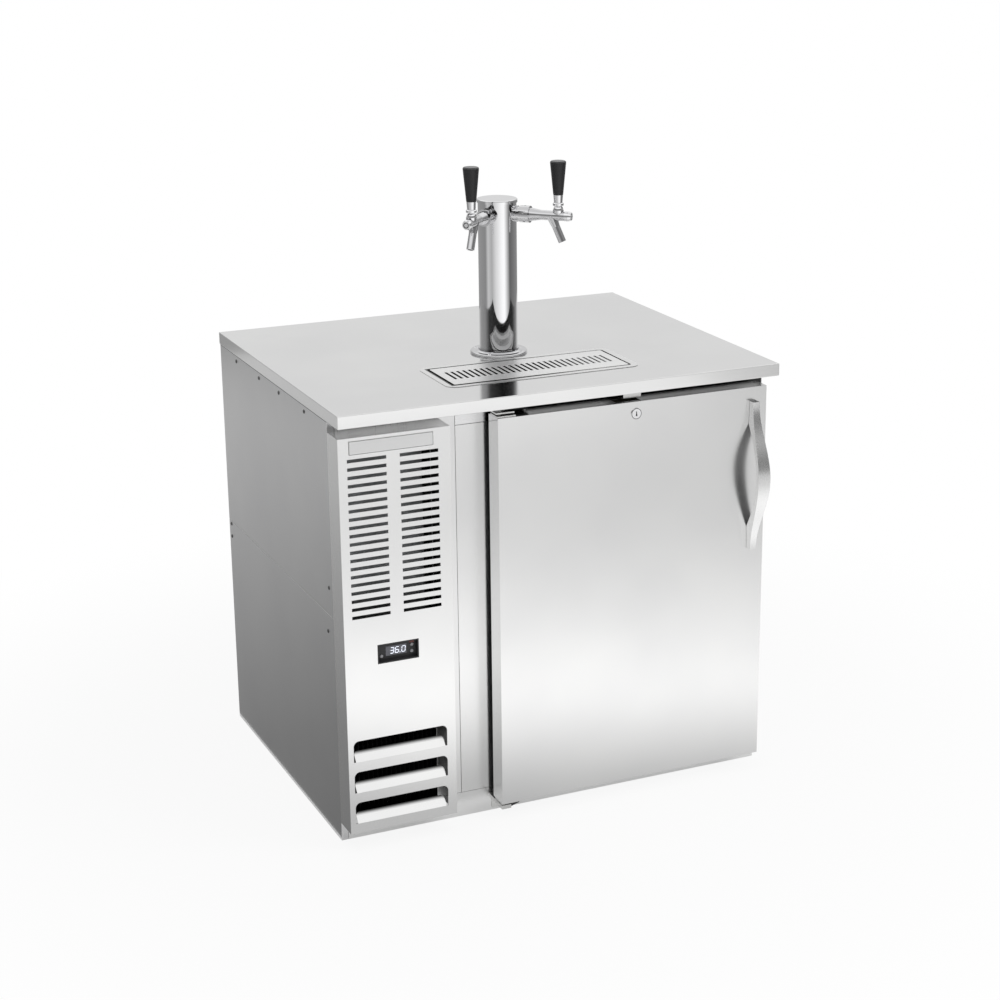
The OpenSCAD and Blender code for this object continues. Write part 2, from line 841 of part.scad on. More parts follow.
module machine_cover() {
    color("silver") difference() {
        union() {
            difference() {
                box([cover_x0, front_y, cover_z0], [cover_x0 + cover_w, face_y, cover_z1]);
                box([cover_x0 + cover_t, front_y + cover_t, cover_z0 - over],
                    [cover_x0 + cover_w - cover_t, face_y + over, cover_z1 + over]);
                for (i = [0 : louvre_n - 1])
                    translate([cover_mid, front_y - over, cover_z0 + louvre_up + i * louvre_pitch])
                        rotate([90, 0, 0]) mirror([0, 0, 1]) linear_extrude(cover_t + 2 * over)
                            round_top(louvre_w, louvre_h, louvre_r);
            }
            for (i = [0 : louvre_n - 1])
                translate([cover_mid, front_y + cover_t / 2, cover_z0 + louvre_up + i * louvre_pitch])
                    louvre_blade();
        }
        for (i = [0 : slot_rows - 1], x = [-slot_gap / 2 - slot_l, slot_gap / 2])
            translate([cover_mid + x, front_y - over, cover_z1 - slot_down - i * slot_pitch - slot_h / 2])
                cube([slot_l, cover_t + 2 * over, slot_h]);
        box([cover_mid - ctrl_w / 2, front_y - over, ctrl_z - ctrl_h / 2],
            [cover_mid + ctrl_w / 2, front_y + cover_t + over, ctrl_z + ctrl_h / 2]);
    }
}

// A pan-head screw on a side panel, pointing out along -X
module side_screw(y, z) {
    translate([-cab_x, y, z]) rotate([0, -90, 0]) cylinder(r1 = screw_r, r2 = screw_r - screw_h, h = screw_h);
}

module case_screws() {
    color("gray") {
        for (y = screw_row) side_screw(y, screw_row_z);
        for (y = screw_row) mirror([1, 0, 0]) side_screw(y, screw_row_z);
        side_screw(back_y - screw_edge, side_joint_z - screw_pair / 2);
        side_screw(back_y - screw_edge, side_joint_z - screw_pair * 5 / 2);
        side_screw(face_y + screw_front, side_joint_z + screw_pair * 4);
        side_screw(face_y + screw_front + screw_pair, side_joint_z - screw_pair * 5 / 2);
    }
}

// Bush in the rear panel for the supply lead
module cord_gland() {
    color("black") difference() {
        union() {
            bar_y(bay_mid, in_y1 - gland_in, back_y + gland_out, gland_z, gland_r);
            bar_y(bay_mid, in_y1 - gland_in, in_y1, gland_z, gland_r + gland_lip);
        }
        bar_y(bay_mid, in_y1 - gland_in - over, back_y + gland_out + over, gland_z, gland_r - gland_wall);
    }
}

module controller_case() {
    w = ctrl_w - 2 * ctrl_fit;
    h = ctrl_h - 2 * ctrl_fit;
    color("dimgray") difference() {
        box([cover_mid - w / 2, front_y, ctrl_z - h / 2],
            [cover_mid + w / 2, front_y + ctrl_d, ctrl_z + h / 2]);
        box([cover_mid - w / 2 + ctrl_wall, front_y - over, ctrl_z - h / 2 + ctrl_wall],
            [cover_mid + w / 2 - ctrl_wall, ctrl_face_y, ctrl_z + h / 2 - ctrl_wall]);
        box([cover_mid + display_at[0] - display_w / 2, ctrl_face_y - over,
             ctrl_z + display_at[1] - display_h / 2],
            [cover_mid + display_at[0] + display_w / 2, ctrl_face_y + display_t / 2,
             ctrl_z + display_at[1] + display_h / 2]);
        for (p = [button_set_at, button_up_at, button_down_at])
            bar_y(cover_mid + p[0], ctrl_face_y - over, ctrl_face_y + button_depth + button_travel + ease,
                  ctrl_z + p[1], button_r + button_fit);
    }
}

module display_window() {
    color("midnightblue")
        box([cover_mid + display_at[0] - display_w / 2 + button_fit, ctrl_face_y - display_t / 2,
             ctrl_z + display_at[1] - display_h / 2 + button_fit],
            [cover_mid + display_at[0] + display_w / 2 - button_fit, ctrl_face_y + display_t / 2,
             ctrl_z + display_at[1] + display_h / 2 - button_fit]);
}

module push_button(p) {
    tip_y = ctrl_face_y - button_stand;
    color("darkslategray") translate([cover_mid + p[0], 0, ctrl_z + p[1]]) {
        bar_y(0, tip_y, ctrl_face_y + button_depth, 0, button_r);
        bar_y(0, tip_y - button_step, ctrl_face_y, 0, button_r - button_rim);
    }
}

module button_set() { push_button(button_set_at); }
module button_up() { push_button(button_up_at); }
module button_down() { push_button(button_down_at); }

// Half section of a can with a rounded top edge
module can_section(r, h, e) {
    square([r, h - e]);
    square([r - e, h]);
    translate([r - e, h - e]) intersection() {
        circle(e);
        square(e);
    }
}

module compressor() {
    z0 = pan_t + comp_foot_z;
    color("dimgray") translate([bay_mid, comp_y, 0]) {
        translate([0, 0, z0]) rotate_extrude() can_section(comp_r, comp_h, comp_round);
        translate([0, 0, z0 + comp_h * comp_seam]) cylinder(r = comp_r + comp_band, h = comp_band);
        box([-comp_r, -comp_r * comp_base_d, z0], [comp_r, comp_r * comp_base_d, z0 + comp_base_t]);
        for (x = [-1, 1], y = [-1, 1])
            translate([x * comp_r * comp_foot_at[0], y * comp_r * comp_foot_at[1], pan_t])
                cylinder(r = comp_foot_r, h = comp_foot_z);
        translate([-comp_r - comp_box_out, -comp_box[1] / 2, z0 + comp_h * comp_box_up]) cube(comp_box);
    }
}

// Half the distance between a coil's tubes, which is the radius of its return bends
function coil_bend(h, rows) = h / rows / 2;
// Distance from a coil's side to the free end of its tubes
function coil_tail(h, rows) = coil_bend(h, rows) + coil_tube_r;

// A finned coil between two end plates, with tubes and return bends
module finned_coil(w, h, d, rows) {
    bend = coil_bend(h, rows);
    tail = coil_tail(h, rows);
    x0 = tail + coil_end_t + fin_inset;
    pitch = (w - 2 * x0) / (coil_fins + 1);
    for (x = [x0 - coil_end_t, w - x0]) translate([x, 0, 0]) cube([coil_end_t, d, h]);
    for (i = [1 : coil_fins])
        translate([x0 + i * pitch - fin_t / 2, fin_inset, fin_inset])
            cube([fin_t, d - 2 * fin_inset, h - 2 * fin_inset]);
    for (i = [0 : rows - 1]) {
        z = (2 * i + 1) * bend;
        rod([tail, d / 2, z], [w - tail, d / 2, z], coil_tube_r);
    }
    for (i = [0 : rows - 2])
        translate([i % 2 == 0 ? w - tail : tail, d / 2, 2 * (i + 1) * bend])
            rotate([90, i % 2 == 0 ? 90 : -90, 0])
                rotate_extrude(angle = 180) translate([bend, 0]) circle(coil_tube_r);
}

module condenser_coil() {
    color("darkgoldenrod") translate([bay_mid - condenser_w / 2, coil_y, coil_z]) {
        translate([0, 0, coil_foot]) finned_coil(condenser_w, condenser_w, coil_d, condenser_rows);
        for (x = [coil_leg_in, condenser_w - coil_leg_in - coil_leg_w])
            box([x, coil_leg_inset, 0],
                [x + coil_leg_w, coil_d - coil_leg_inset, coil_foot + coil_leg_inset]);
    }
}

module fan_shroud() {
    half = condenser_w / 2 - shroud_inset;
    color("black") difference() {
        union() {
            box([fan_at[0] - half, fan_at[1], coil_z],
                [fan_at[0] + half, fan_at[1] + shroud_t, coil_z + coil_foot + condenser_w]);
            bar_y(fan_at[0], fan_at[1], fan_at[1] + shroud_ring, fan_at[2], fan_r + tip_gap + shroud_t);
        }
        bar_y(fan_at[0], fan_at[1] - over, fan_at[1] + shroud_ring + over, fan_at[2], fan_r + tip_gap);
    }
}

// A fan: hub with its shaft, and flat pitched blades; it turns about local Z
module fan(r) {
    difference() {
        union() {
            cylinder(r = fan_hub_r, h = fan_hub_l);
            for (i = [0 : fan_blades - 1])
                rotate([0, 0, i * 360 / fan_blades])
                    translate([fan_hub_r - blade_root, 0, fan_hub_l / 2]) rotate([blade_pitch, 0, 0])
                        translate([0, -blade_w / 2, -blade_t / 2]) cube([r - fan_hub_r, blade_w, blade_t]);
        }
        translate([0, 0, -over]) cylinder(r = fan_hub_r - fan_hub_wall, h = over + fan_hub_hollow);
    }
    translate([0, 0, fan_hub_l]) cylinder(r = shaft_r, h = fan_back + shaft_in);
}

// A fan motor with the spider that hangs it on a plate; its shaft side faces -Z
module fan_motor(arm_r, arm_l) {
    difference() {
        union() {
            cylinder(r = motor_r, h = motor_l);
            for (i = [0 : spider_arms - 1]) rotate([0, 0, spider_turn + i * 360 / spider_arms]) {
                translate([0, -spider_w / 2, 0]) cube([arm_r + spider_t, spider_w, spider_t]);
                translate([arm_r, -spider_w / 2, -arm_l]) cube([spider_t, spider_w, arm_l]);
            }
        }
        translate([0, 0, -over]) cylinder(r = shaft_r + shaft_fit, h = shaft_in + 2 * over);
    }
}

module condenser_fan() {
    color("gray") translate(fan_at) rotate([-90, 0, 0]) fan(fan_r - tip_gap);
}

module evaporator_fan() {
    color("white") translate(evap_at) rotate([-90, 0, 0]) fan(evap_fan_r - tip_gap);
}

module fan_motors() {
    lift = fan_hub_l + fan_back;
    color("dimgray") {
        translate([fan_at[0], fan_at[1] + lift, fan_at[2]]) rotate([-90, 0, 0])
            fan_motor(fan_r + tip_gap + shroud_t + spider_clear, lift - shroud_t);
        translate([evap_at[0], evap_at[1] + lift, evap_at[2]]) rotate([-90, 0, 0])
            fan_motor(evap_fan_r + tip_gap, lift + evap_at[1] - evap_y0 - evap_t);
    }
}

module evaporator_coil() {
    color("lightsteelblue") translate([evap_coil_x, keg_y1 - coil_d, evap_z0 + evap_lift])
        finned_coil(evap_coil_w, evap_coil_h, coil_d, evap_rows);
}

module evaporator_cover() {
    color("white") difference() {
        box([evap_mid - evap_w / 2, evap_y0, evap_z0], [evap_mid + evap_w / 2, keg_y1, evap_z1]);
        box([evap_mid - evap_w / 2 + evap_t, evap_y0 + evap_t, evap_z0 - over],
            [evap_mid + evap_w / 2 - evap_t, keg_y1 + over, evap_z1 - evap_t]);
        bar_y(evap_at[0], evap_y0 - over, evap_y0 + evap_t + over, evap_at[2], evap_fan_r);
        rod([evap_mid - evap_w / 2 - over, suction_y, suction_z],
            [evap_mid - evap_w / 2 + evap_t + over, suction_y, suction_z], suction_hole);
    }
}

// Suction line from the evaporator to the compressor, and discharge line to the condenser
module copper_lines() {
    rise_x = bay_mid + comp_r - suction_r;
    comp_top = pan_t + comp_foot_z + comp_h;
    suck_at = [bay_mid + comp_r / 3, comp_y, comp_top];
    push_at = [bay_mid - comp_r / 3, comp_y, comp_top];
    push_r = suction_r * push_share;
    coil_mid_y = coil_y + coil_d / 2;
    push_end_x = bay_mid - condenser_w / 2 + coil_tail(condenser_w, condenser_rows);
    push_end_z = coil_z + coil_foot + condenser_w - coil_bend(condenser_w, condenser_rows);
    drop_x = push_end_x - line_turn;
    color("peru") {
        tube_run([[suction_x, suction_y, suction_z], [rise_x, suction_y, suction_z],
                  [rise_x, suction_y, comp_top + 2 * line_turn], suck_at + [0, 0, 2 * line_turn], suck_at],
                 suction_r);
        tube_run([push_at, push_at + [0, 0, 3 * line_turn],
                  [drop_x, coil_mid_y, comp_top + 3 * line_turn], [drop_x, coil_mid_y, push_end_z],
                  [push_end_x, coil_mid_y, push_end_z]], push_r);
    }
}

// One hinge bracket: a shelf for the pin, and a leg on the cabinet's face
module hinge_bracket(z, thick, front, shelf, arm, leg) {
    box([door_x0 + seam, front, z], [door_x0 + shelf, face_y, z + thick]);
    box([door_x0 + seam, face_y - hinge_t, z - max(0, -leg)],
        [door_x0 + arm, face_y, z + thick + max(0, leg)]);
}

module hinge_brackets() {
    upper_z = door_z1 + hinge_t + hinge_gap;
    lower_z = door_z0 - hinge_t - hinge_gap - foot_t;
    color("lightgray") {
        hinge_bracket(upper_z, hinge_t, front_y + pin_back / 2, hinge_l, hinge_arm,
                      under_z - upper_z - hinge_t - over);
        translate([pin_x, pin_y, door_z1 - pin_depth])
            cylinder(r = pin_r, h = upper_z + hinge_t - door_z1 + pin_depth);
        hinge_bracket(lower_z, foot_t, front_y + hinge_edge, foot_w, hinge_l, -lower_z + 2 * hinge_t);
        translate([pin_x, pin_y, lower_z]) cylinder(r = pin_r, h = door_z0 + pin_depth - lower_z);
    }
}

// Bores for both hinge pins
module pin_bores() {
    deep = pin_depth + hinge_t + over;
    translate([pin_x, pin_y, door_z1 - pin_depth - over]) cylinder(r = pin_r + pin_fit, h = deep + 2 * over);
    translate([pin_x, pin_y, door_z0 - hinge_t - over]) cylinder(r = pin_r + pin_fit, h = deep + 2 * over);
}

module hinge_plates() {
    color("lightgray") difference() {
        for (z = [door_z1, door_z0 - hinge_t])
            box([door_x0, front_y + hinge_edge, z],
                [door_x0 + hinge_l, front_y + 2 * pin_back - hinge_edge, z + hinge_t]);
        pin_bores();
    }
}

// Pocket in the door's upper edge, where the lock cam turns
module lock_pocket() {
    box([lock_x - cam_l - pocket_margin, pocket_y0, lock_z - cam_w],
        [lock_x + cam_w, pocket_y1, door_z1 + over]);
}

module door_skin() {
    color("gainsboro") difference() {
        box([door_x0, front_y, door_z0], [door_x1, door_back_y, door_z1]);
        box([door_x0 + sheet_t, front_y + sheet_t, door_z0 + sheet_t],
            [door_x1 - sheet_t, door_back_y + over, door_z1 - sheet_t]);
        lock_pocket();
        bar_y(lock_x, front_y - over, front_y + sheet_t + over, lock_z, lock_barrel_r + pin_fit);
        pin_bores();
    }
}

module door_foam() {
    color("khaki") difference() {
        box([door_x0 + sheet_t, front_y + sheet_t, door_z0 + sheet_t],
            [door_x1 - sheet_t, door_back_y - sheet_t, door_z1 - sheet_t]);
        lock_pocket();
        bar_y(lock_x, front_y, pocket_y1, lock_z, lock_barrel_r + pin_fit);
        pin_bores();
    }
}

module door_liner() {
    color("white") {
        box([door_x0 + sheet_t, door_back_y - sheet_t, door_z0 + sheet_t],
            [door_x1 - sheet_t, door_back_y, door_z1 - sheet_t]);
        box([keg_x0 + seam, door_back_y - sheet_t, keg_z0 + seam],
            [keg_x1 - seam, door_back_y + door_dike, keg_z1 - seam]);
    }
}

module door_gasket() {
    x0 = door_x0 + gasket_inset;
    x1 = door_x1 - gasket_inset;
    z0 = door_z0 + gasket_inset;
    z1 = door_z1 - gasket_inset;
    color("dimgray") difference() {
        box([x0, door_back_y, z0], [x1, face_y - gasket_gap, z1]);
        box([x0 + gasket_w, door_back_y - over, z0 + gasket_w],
            [x1 - gasket_w, face_y + over, z1 - gasket_w]);
    }
}

// Side view of the bow handle: height along X, stand-off along Y
module handle_side() {
    steps = 32;
    inner = handle_l - 2 * handle_foot;
    outline = [for (i = [0 : steps])
        [handle_l * (i / steps - 0.5), handle_end_d + (handle_mid_d - handle_end_d) * bump(i / steps - 0.5)]];
    hollow = [for (i = [0 : steps])
        [inner * (i / steps - 0.5), (handle_mid_d - handle_strap) * cos(180 * (i / steps - 0.5))]];
    difference() {
        polygon(concat([[-handle_l / 2, 0]], outline, [[handle_l / 2, 0]]));
        polygon(concat([[-inner / 2, -over]], hollow, [[inner / 2, -over]]));
    }
}

// Front view of the bow handle: height along X, half widths along Y
module handle_front() {
    steps = 32;
    edge = [for (i = [0 : steps])
        [handle_l * (i / steps - 0.5),
         (handle_end_w + (handle_mid_w - handle_end_w) * bump(i / steps - 0.5)) / 2]];
    back = [for (i = [0 : steps]) [edge[steps - i][0], -edge[steps - i][1]]];
    polygon(concat(edge, back));
}

module door_handle() {
    color("lightgray")
        translate([door_x1 - handle_in, front_y, door_z1 - handle_down - handle_l / 2])
            rotate([0, 90, 180]) intersection() {
                translate([0, 0, -handle_mid_w]) linear_extrude(2 * handle_mid_w) handle_side();
                rotate([-90, 0, 0]) translate([0, 0, -over]) linear_extrude(2 * handle_mid_d) handle_front();
            }
}

module lock_body() {
    color("silver") difference() {
        union() {
            bar_y(lock_x, front_y - lock_flange_t, front_y, lock_z, lock_flange_r);
            bar_y(lock_x, front_y - lock_flange_t, front_y + lock_barrel_l, lock_z, lock_barrel_r);
        }
        bar_y(lock_x, front_y - lock_flange_t - over, front_y + lock_barrel_l + over, lock_z,
              lock_plug_r + pin_fit);
    }
}

module lock_plug() {
    color("lightgray") difference() {
        union() {
            bar_y(lock_x, front_y - lock_flange_t, front_y + lock_barrel_l + plug_proud, lock_z, lock_plug_r);
            bar_y(lock_x, front_y, cam_y + cam_t + tail_end, lock_z, tail_r);
        }
        translate([lock_x - keyway[0] / 2, front_y - lock_flange_t - over, lock_z - keyway[2] / 2])
            cube(keyway);
    }
}

module lock_cam() {
    tip_x = lock_x - cam_l + cam_w / 2;
    color("gray") difference() {
        union() {
            box([tip_x, cam_y, lock_z - cam_w / 2], [lock_x, cam_y + cam_t, lock_z + cam_w / 2]);
            for (x = [lock_x, tip_x]) bar_y(x, cam_y, cam_y + cam_t, lock_z, cam_w / 2);
        }
        bar_y(lock_x, cam_y - over, cam_y + cam_t + over, lock_z, tail_r + pin_fit);
    }
}

module lock_strike() {
    x0 = lock_x - strike_w / 2;
    x1 = lock_x + strike_w / 2;
    color("lightgray") {
        box([x0, strike_y, strike_drop], [x1, strike_y + strike_t, under_z]);
        box([x0, strike_y, under_z - strike_t], [x1, face_y, under_z]);
    }
}

module tower_flange() {
    round_r = flange_rim / 2;
    neck_out_r = column_r + flange_shoulder;
    color("silver") translate(tower_at) rotate_extrude() difference() {
        union() {
            square([flange_r - round_r, flange_rim]);
            translate([flange_r - round_r, round_r]) circle(round_r);
            polygon([[0, 0], [flange_r - 2 * flange_rim, 0], [flange_r - 2 * flange_rim, flange_rim],
                     [neck_out_r, flange_rim + flange_rise], [neck_out_r, flange_neck], [0, flange_neck]]);
            square([column_in - column_fit, flange_neck + flange_collar_h]);
        }
        translate([0, -over]) square([chase_r, flange_neck + flange_collar_h + 2 * over]);
        translate([-flange_r, -over]) square([flange_r, flange_neck + flange_collar_h + 2 * over]);
    }
}

module tower_column() {
    color("silver") difference() {
        translate([0, -tower_y, top_z + flange_neck])
            cylinder(r = column_r, h = tower_h - flange_neck - cap_t);
        translate([0, -tower_y, top_z]) cylinder(r = column_in, h = tower_h);
        for (side = [0, 1]) at_faucet(side) bar_x(0, 2 * column_r, shank_r + ease);
    }
}

module tower_cap() {
    color("silver") translate([0, -tower_y, top_z + tower_h - cap_t]) rotate_extrude() union() {
        square([cap_r, cap_t - cap_edge]);
        square([cap_r - cap_edge, cap_t]);
        translate([cap_r - cap_edge, cap_t - cap_edge]) intersection() {
            circle(cap_edge);
            square(cap_edge);
        }
        translate([0, -cap_plug_h]) square([column_in - column_fit, cap_plug_h]);
    }
}

module shanks() {
    color("silver") for (side = [0, 1]) at_faucet(side) difference() {
        union() {
            bar_x(tail_u, shank_head_u0 + over, shank_r);
            bar_x(shank_head_u0, shank_u1, shank_head_r);
            difference() {
                bar_x(column_r - shank_flange_t, shank_head_u0, shank_flange_r);
                translate([0, 0, -2 * nut_r]) cylinder(r = column_r + column_fit, h = 4 * nut_r);
            }
        }
        bar_x(tail_u - over, shank_u1 + over, shank_bore_r);
    }
}

module shank_nuts() {
    color("silver") for (side = [0, 1]) at_faucet(side) difference() {
        translate([shank_nut_u, 0, 0]) rotate([0, 90, 0]) cylinder(r = shank_nut_r, h = shank_nut_l, $fn = 6);
        bar_x(shank_nut_u - over, shank_nut_u + shank_nut_l + over, shank_r + joint_gap);
    }
}

module coupling_nuts() {
    color("silver") for (side = [0, 1]) at_faucet(side) difference() {
        bar_x(nut_u0, nut_u1, nut_r);
        bar_x(nut_u0 - over, shank_u1 + tail_flange_l + joint_gap, shank_head_r + joint_gap);
        bar_x(nut_u0, nut_u1 + over, nut_lip_r + joint_gap);
        for (i = [0 : nut_holes - 1])
            rotate([i * 360 / nut_holes, 0, 0]) translate([(nut_u0 + nut_u1) / 2, 0, nut_r - nut_hole_d])
                cylinder(r = nut_hole_r, h = 2 * nut_hole_d);
    }
}

// Places children on a faucet's spout: local Z runs down it
module at_spout() {
    translate([spout_u, 0, 0]) rotate([0, 180 - spout_lean, 0]) children();
}

// A faucet: barrel with the lever's boss, and the spout set into it, with their passages
module faucet() {
    tail_u0 = shank_u1 + joint_gap;
    tail_u1 = shank_u1 + tail_flange_l;
    color("silver") {
        difference() {
            union() {
                difference() {
                    turned_x() polygon([[tail_u0, 0], [tail_u0, shank_head_r], [tail_u1, shank_head_r],
                                        [tail_u1, nut_lip_r], [nut_u1 + nut_clear, nut_lip_r],
                                        [body_cone_u, body_r + body_swell], [body_u1, body_r], [body_u1, 0]]);
                    translate([lever_u, 0, bonnet_z0 - seat_gap])
                        cylinder(r = bonnet_r + joint_gap, h = 2 * body_r);
                }
                translate([lever_u, 0, 0]) cylinder(r = boss_r, h = boss_top);
            }
            bar_x(tail_u0 - over, body_u1 + over, valve_bore_r);
            translate([lever_u, 0, lever_z]) {
                sphere(socket_r);
                rotate([0, 180 + lever_swing, 0]) cylinder(r = finger_r + finger_back, h = finger_l + over);
            }
            translate([lever_u, 0, 0]) cylinder(r = valve_bore_r + joint_gap, h = lever_z);
            at_spout() cylinder(r = spout_bore_r, h = spout_l);
        }
        difference() {
            at_spout() {
                cylinder(r = spout_r, h = spout_l);
                cylinder(r1 = spout_r + spout_swell, r2 = spout_r, h = spout_l * spout_taper);
            }
            bar_x(body_cone_u - over, body_u1, body_r + body_swell + joint_gap);
            at_spout() cylinder(r = spout_bore_r, h = spout_l + over);
        }
    }
}

module faucet_left() { at_faucet(0) faucet(); }
module faucet_right() { at_faucet(1) faucet(); }

module faucet_plugs() {
    color("silver") for (side = [0, 1]) at_faucet(side)
        turned_x() polygon([[body_u1, 0], [body_u1, plug_r], [body_u1 + plug_l * plug_straight, plug_r],
                            [body_u1 + plug_l, plug_r - plug_edge], [body_u1 + plug_l, 0]]);
}

// Ring nut with a domed top that holds the lever's ball
module bonnets() {
    color("silver") for (side = [0, 1]) at_faucet(side) translate([lever_u, 0, 0]) difference() {
        union() {
            translate([0, 0, bonnet_z0]) cylinder(r = bonnet_r, h = lever_z - bonnet_z0);
            intersection() {
                translate([0, 0, lever_z]) sphere(dome_r);
                translate([0, 0, lever_z - over]) cylinder(r = bonnet_r, h = dome_r + 2 * over);
            }
        }
        translate([0, 0, lever_z]) sphere(socket_r);
        translate([0, 0, bonnet_z0 - over])
            cylinder(r = boss_r + bonnet_fit, h = boss_top + bonnet_fit - bonnet_z0 + over);
        translate([0, 0, lever_z]) {
            cylinder(r = neck_r + neck_gap, h = 2 * dome_r);
            rotate([0, lever_swing, 0]) cylinder(r = neck_r + neck_gap, h = 2 * dome_r);
            rotate([90, 0, 0]) rotate([0, 0, 90 - lever_swing]) rotate_extrude(angle = lever_swing)
                translate([ball_r / 2, -neck_slot / 2]) square([dome_r, neck_slot]);
        }
    }
}

// A lever: ball, finger into the valve shaft, neck, domed collar and ferrule
module lever() {
    color("silver") translate([lever_u, 0, 0]) {
        translate([0, 0, lever_z]) sphere(ball_r);
        translate([0, 0, lever_z - finger_l]) cylinder(r = finger_r, h = finger_l);
        translate([0, 0, lever_z]) cylinder(r = neck_r, h = lever_top - lever_z);
        difference() {
            rotate_extrude() polygon([[0, skirt_z0], [dome_r + skirt_lip, skirt_z0],
                                      [bonnet_r, skirt_z0 + skirt_cone], [bonnet_r, lever_top - collar_edge],
                                      [bonnet_r - collar_edge, lever_top], [ferrule_r0, lever_top],
                                      [tap_r0 - ferrule_step, ferrule_top], [0, ferrule_top]]);
            translate([0, 0, lever_z]) sphere(skirt_r);
        }
    }
}

module lever_left() { at_faucet(0) lever(); }
module lever_right() { at_faucet(1) lever(); }

module tap_handle() {
    color("black") translate([lever_u, 0, ferrule_top]) rotate_extrude()
        polygon([[0, 0], [tap_r0, 0], [tap_r0 + tap_foot[0], tap_foot[1]], [tap_r1, tap_h - tap_shoulder],
                 [tap_r1, tap_h - tap_crown], [tap_r1 - tap_crown, tap_h], [0, tap_h]]);
}

module tap_handle_left() { at_faucet(0) tap_handle(); }
module tap_handle_right() { at_faucet(1) tap_handle(); }

// A valve shaft: seat at the back, slot for the lever's finger, guide at the front,
// and a flat along the top where it passes under the lever's ball
module valve() {
    guide_r = valve_bore_r - valve_gap;
    color("lightgray") difference() {
        union() {
            bar_x(valve_u0, valve_u1, valve_rod_r);
            bar_x(valve_u0, valve_u0 + valve_head_l, guide_r);
            bar_x(valve_u1 - valve_guide_l, valve_u1, guide_r);
        }
        box([lever_u - slot_back, -finger_slot_w / 2, lever_z - finger_l - over],
            [lever_u + slot_front, finger_slot_w / 2, 2 * valve_rod_r]);
        box([lever_u - ball_r, -valve_bore_r, valve_flat_z], [body_u1, valve_bore_r, 2 * valve_bore_r]);
    }
}

module valve_left() { at_faucet(0) valve(); }
module valve_right() { at_faucet(1) valve(); }

// Each line leaves the shank's tail, turns down the column and ends under the ceiling
module beer_lines() {
    drop = shank_z - line_bend - line_end_z;
    color("ivory") for (side = [0, 1]) at_faucet(side) {
        translate([tail_u, 0, -line_bend]) rotate([90, 0, 0]) rotate([0, 0, 90]) rotate_extrude(angle = 90)
            translate([line_bend, 0]) difference() {
                circle(line_r);
                circle(line_bore_r);
            }
        translate([line_u, 0, -line_bend - drop]) difference() {
            cylinder(r = line_r, h = drop);
            translate([0, 0, -over]) cylinder(r = line_bore_r, h = drop + 2 * over);
        }
    }
}

worktop();
drip_tray();
side_left_upper();
side_left_lower();
side_right();
rear_panel();
base_pan();
top_rail();
bay_frame();
hinge_stile();
base_rail();
insulation();
inner_liner();
keg_floor();
machine_cover();
case_screws();
cord_gland();
controller_case();
display_window();
compressor();
condenser_coil();
fan_shroud();
fan_motors();
evaporator_coil();
evaporator_cover();
copper_lines();
hinge_brackets();
lock_strike();
tower_flange();
tower_column();
tower_cap();
shanks();
shank_nuts();
coupling_nuts();
faucet_left();
faucet_right();
bonnets();
faucet_plugs();
beer_lines();
door_skin();
door_foam();
door_liner();
door_gasket();
door_handle();
hinge_plates();
lock_body();
lock_plug();
lock_cam();
lever_left();
lever_right();
tap_handle_left();
tap_handle_right();
valve_left();
valve_right();
drip_grate();
condenser_fan();
evaporator_fan();
button_set();
button_up();
button_down();
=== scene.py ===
import bpy
import bmesh
import json
import math
from mathutils import Matrix, Vector


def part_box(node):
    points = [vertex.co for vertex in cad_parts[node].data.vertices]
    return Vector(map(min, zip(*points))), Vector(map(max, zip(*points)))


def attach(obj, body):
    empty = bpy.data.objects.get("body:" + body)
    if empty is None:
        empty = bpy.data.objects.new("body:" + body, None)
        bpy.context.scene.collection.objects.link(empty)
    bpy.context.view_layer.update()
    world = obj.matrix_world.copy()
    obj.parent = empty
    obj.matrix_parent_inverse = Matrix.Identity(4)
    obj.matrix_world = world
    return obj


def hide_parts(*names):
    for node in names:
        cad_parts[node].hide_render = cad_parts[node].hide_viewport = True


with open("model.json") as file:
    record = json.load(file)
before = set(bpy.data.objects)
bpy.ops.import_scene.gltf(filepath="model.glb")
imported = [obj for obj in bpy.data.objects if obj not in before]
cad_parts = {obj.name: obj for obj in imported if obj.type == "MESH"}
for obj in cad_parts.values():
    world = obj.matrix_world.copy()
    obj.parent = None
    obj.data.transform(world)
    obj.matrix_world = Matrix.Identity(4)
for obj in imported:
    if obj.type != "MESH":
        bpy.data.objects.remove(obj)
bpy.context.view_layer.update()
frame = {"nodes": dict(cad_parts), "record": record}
nodes = frame["nodes"]
bodyOf = {n: b for b, members in frame["record"]["behaviour"]["bodies"].items() for n in members}
slotOf = {part["node"]: part["material_slot"] for part in frame["record"]["subparts"]}
scene = bpy.context.scene
scene.view_settings.view_transform = "Standard"
print("frame loaded:", len(nodes), "nodes")


# Camera of the photograph
photoView = {"place": (-1.6503, -3.8644, 1.8777), "target": (0.1732, -0.0535, 0.5327),
             "lens": 76.764, "sensor": 36.0, "shiftX": -0.079626, "far": 80.0}


# A camera or a lamp at one place, looking at another
def addAimed(name, data, place, target):
    obj = bpy.data.objects.new(name, data)
    obj.location = place
    obj.rotation_euler = (Vector(target) - Vector(place)).to_track_quat("-Z", "Y").to_euler()
    scene.collection.objects.link(obj)
    return obj


def addCamera(view):
    data = bpy.data.cameras.new("photoCamera")
    data.sensor_width = view["sensor"]
    data.lens = view["lens"]
    data.shift_x = view["shiftX"]
    data.clip_end = view["far"]
    scene.camera = addAimed("photoCamera", data, view["place"], view["target"])


addCamera(photoView)
print("camera placed")


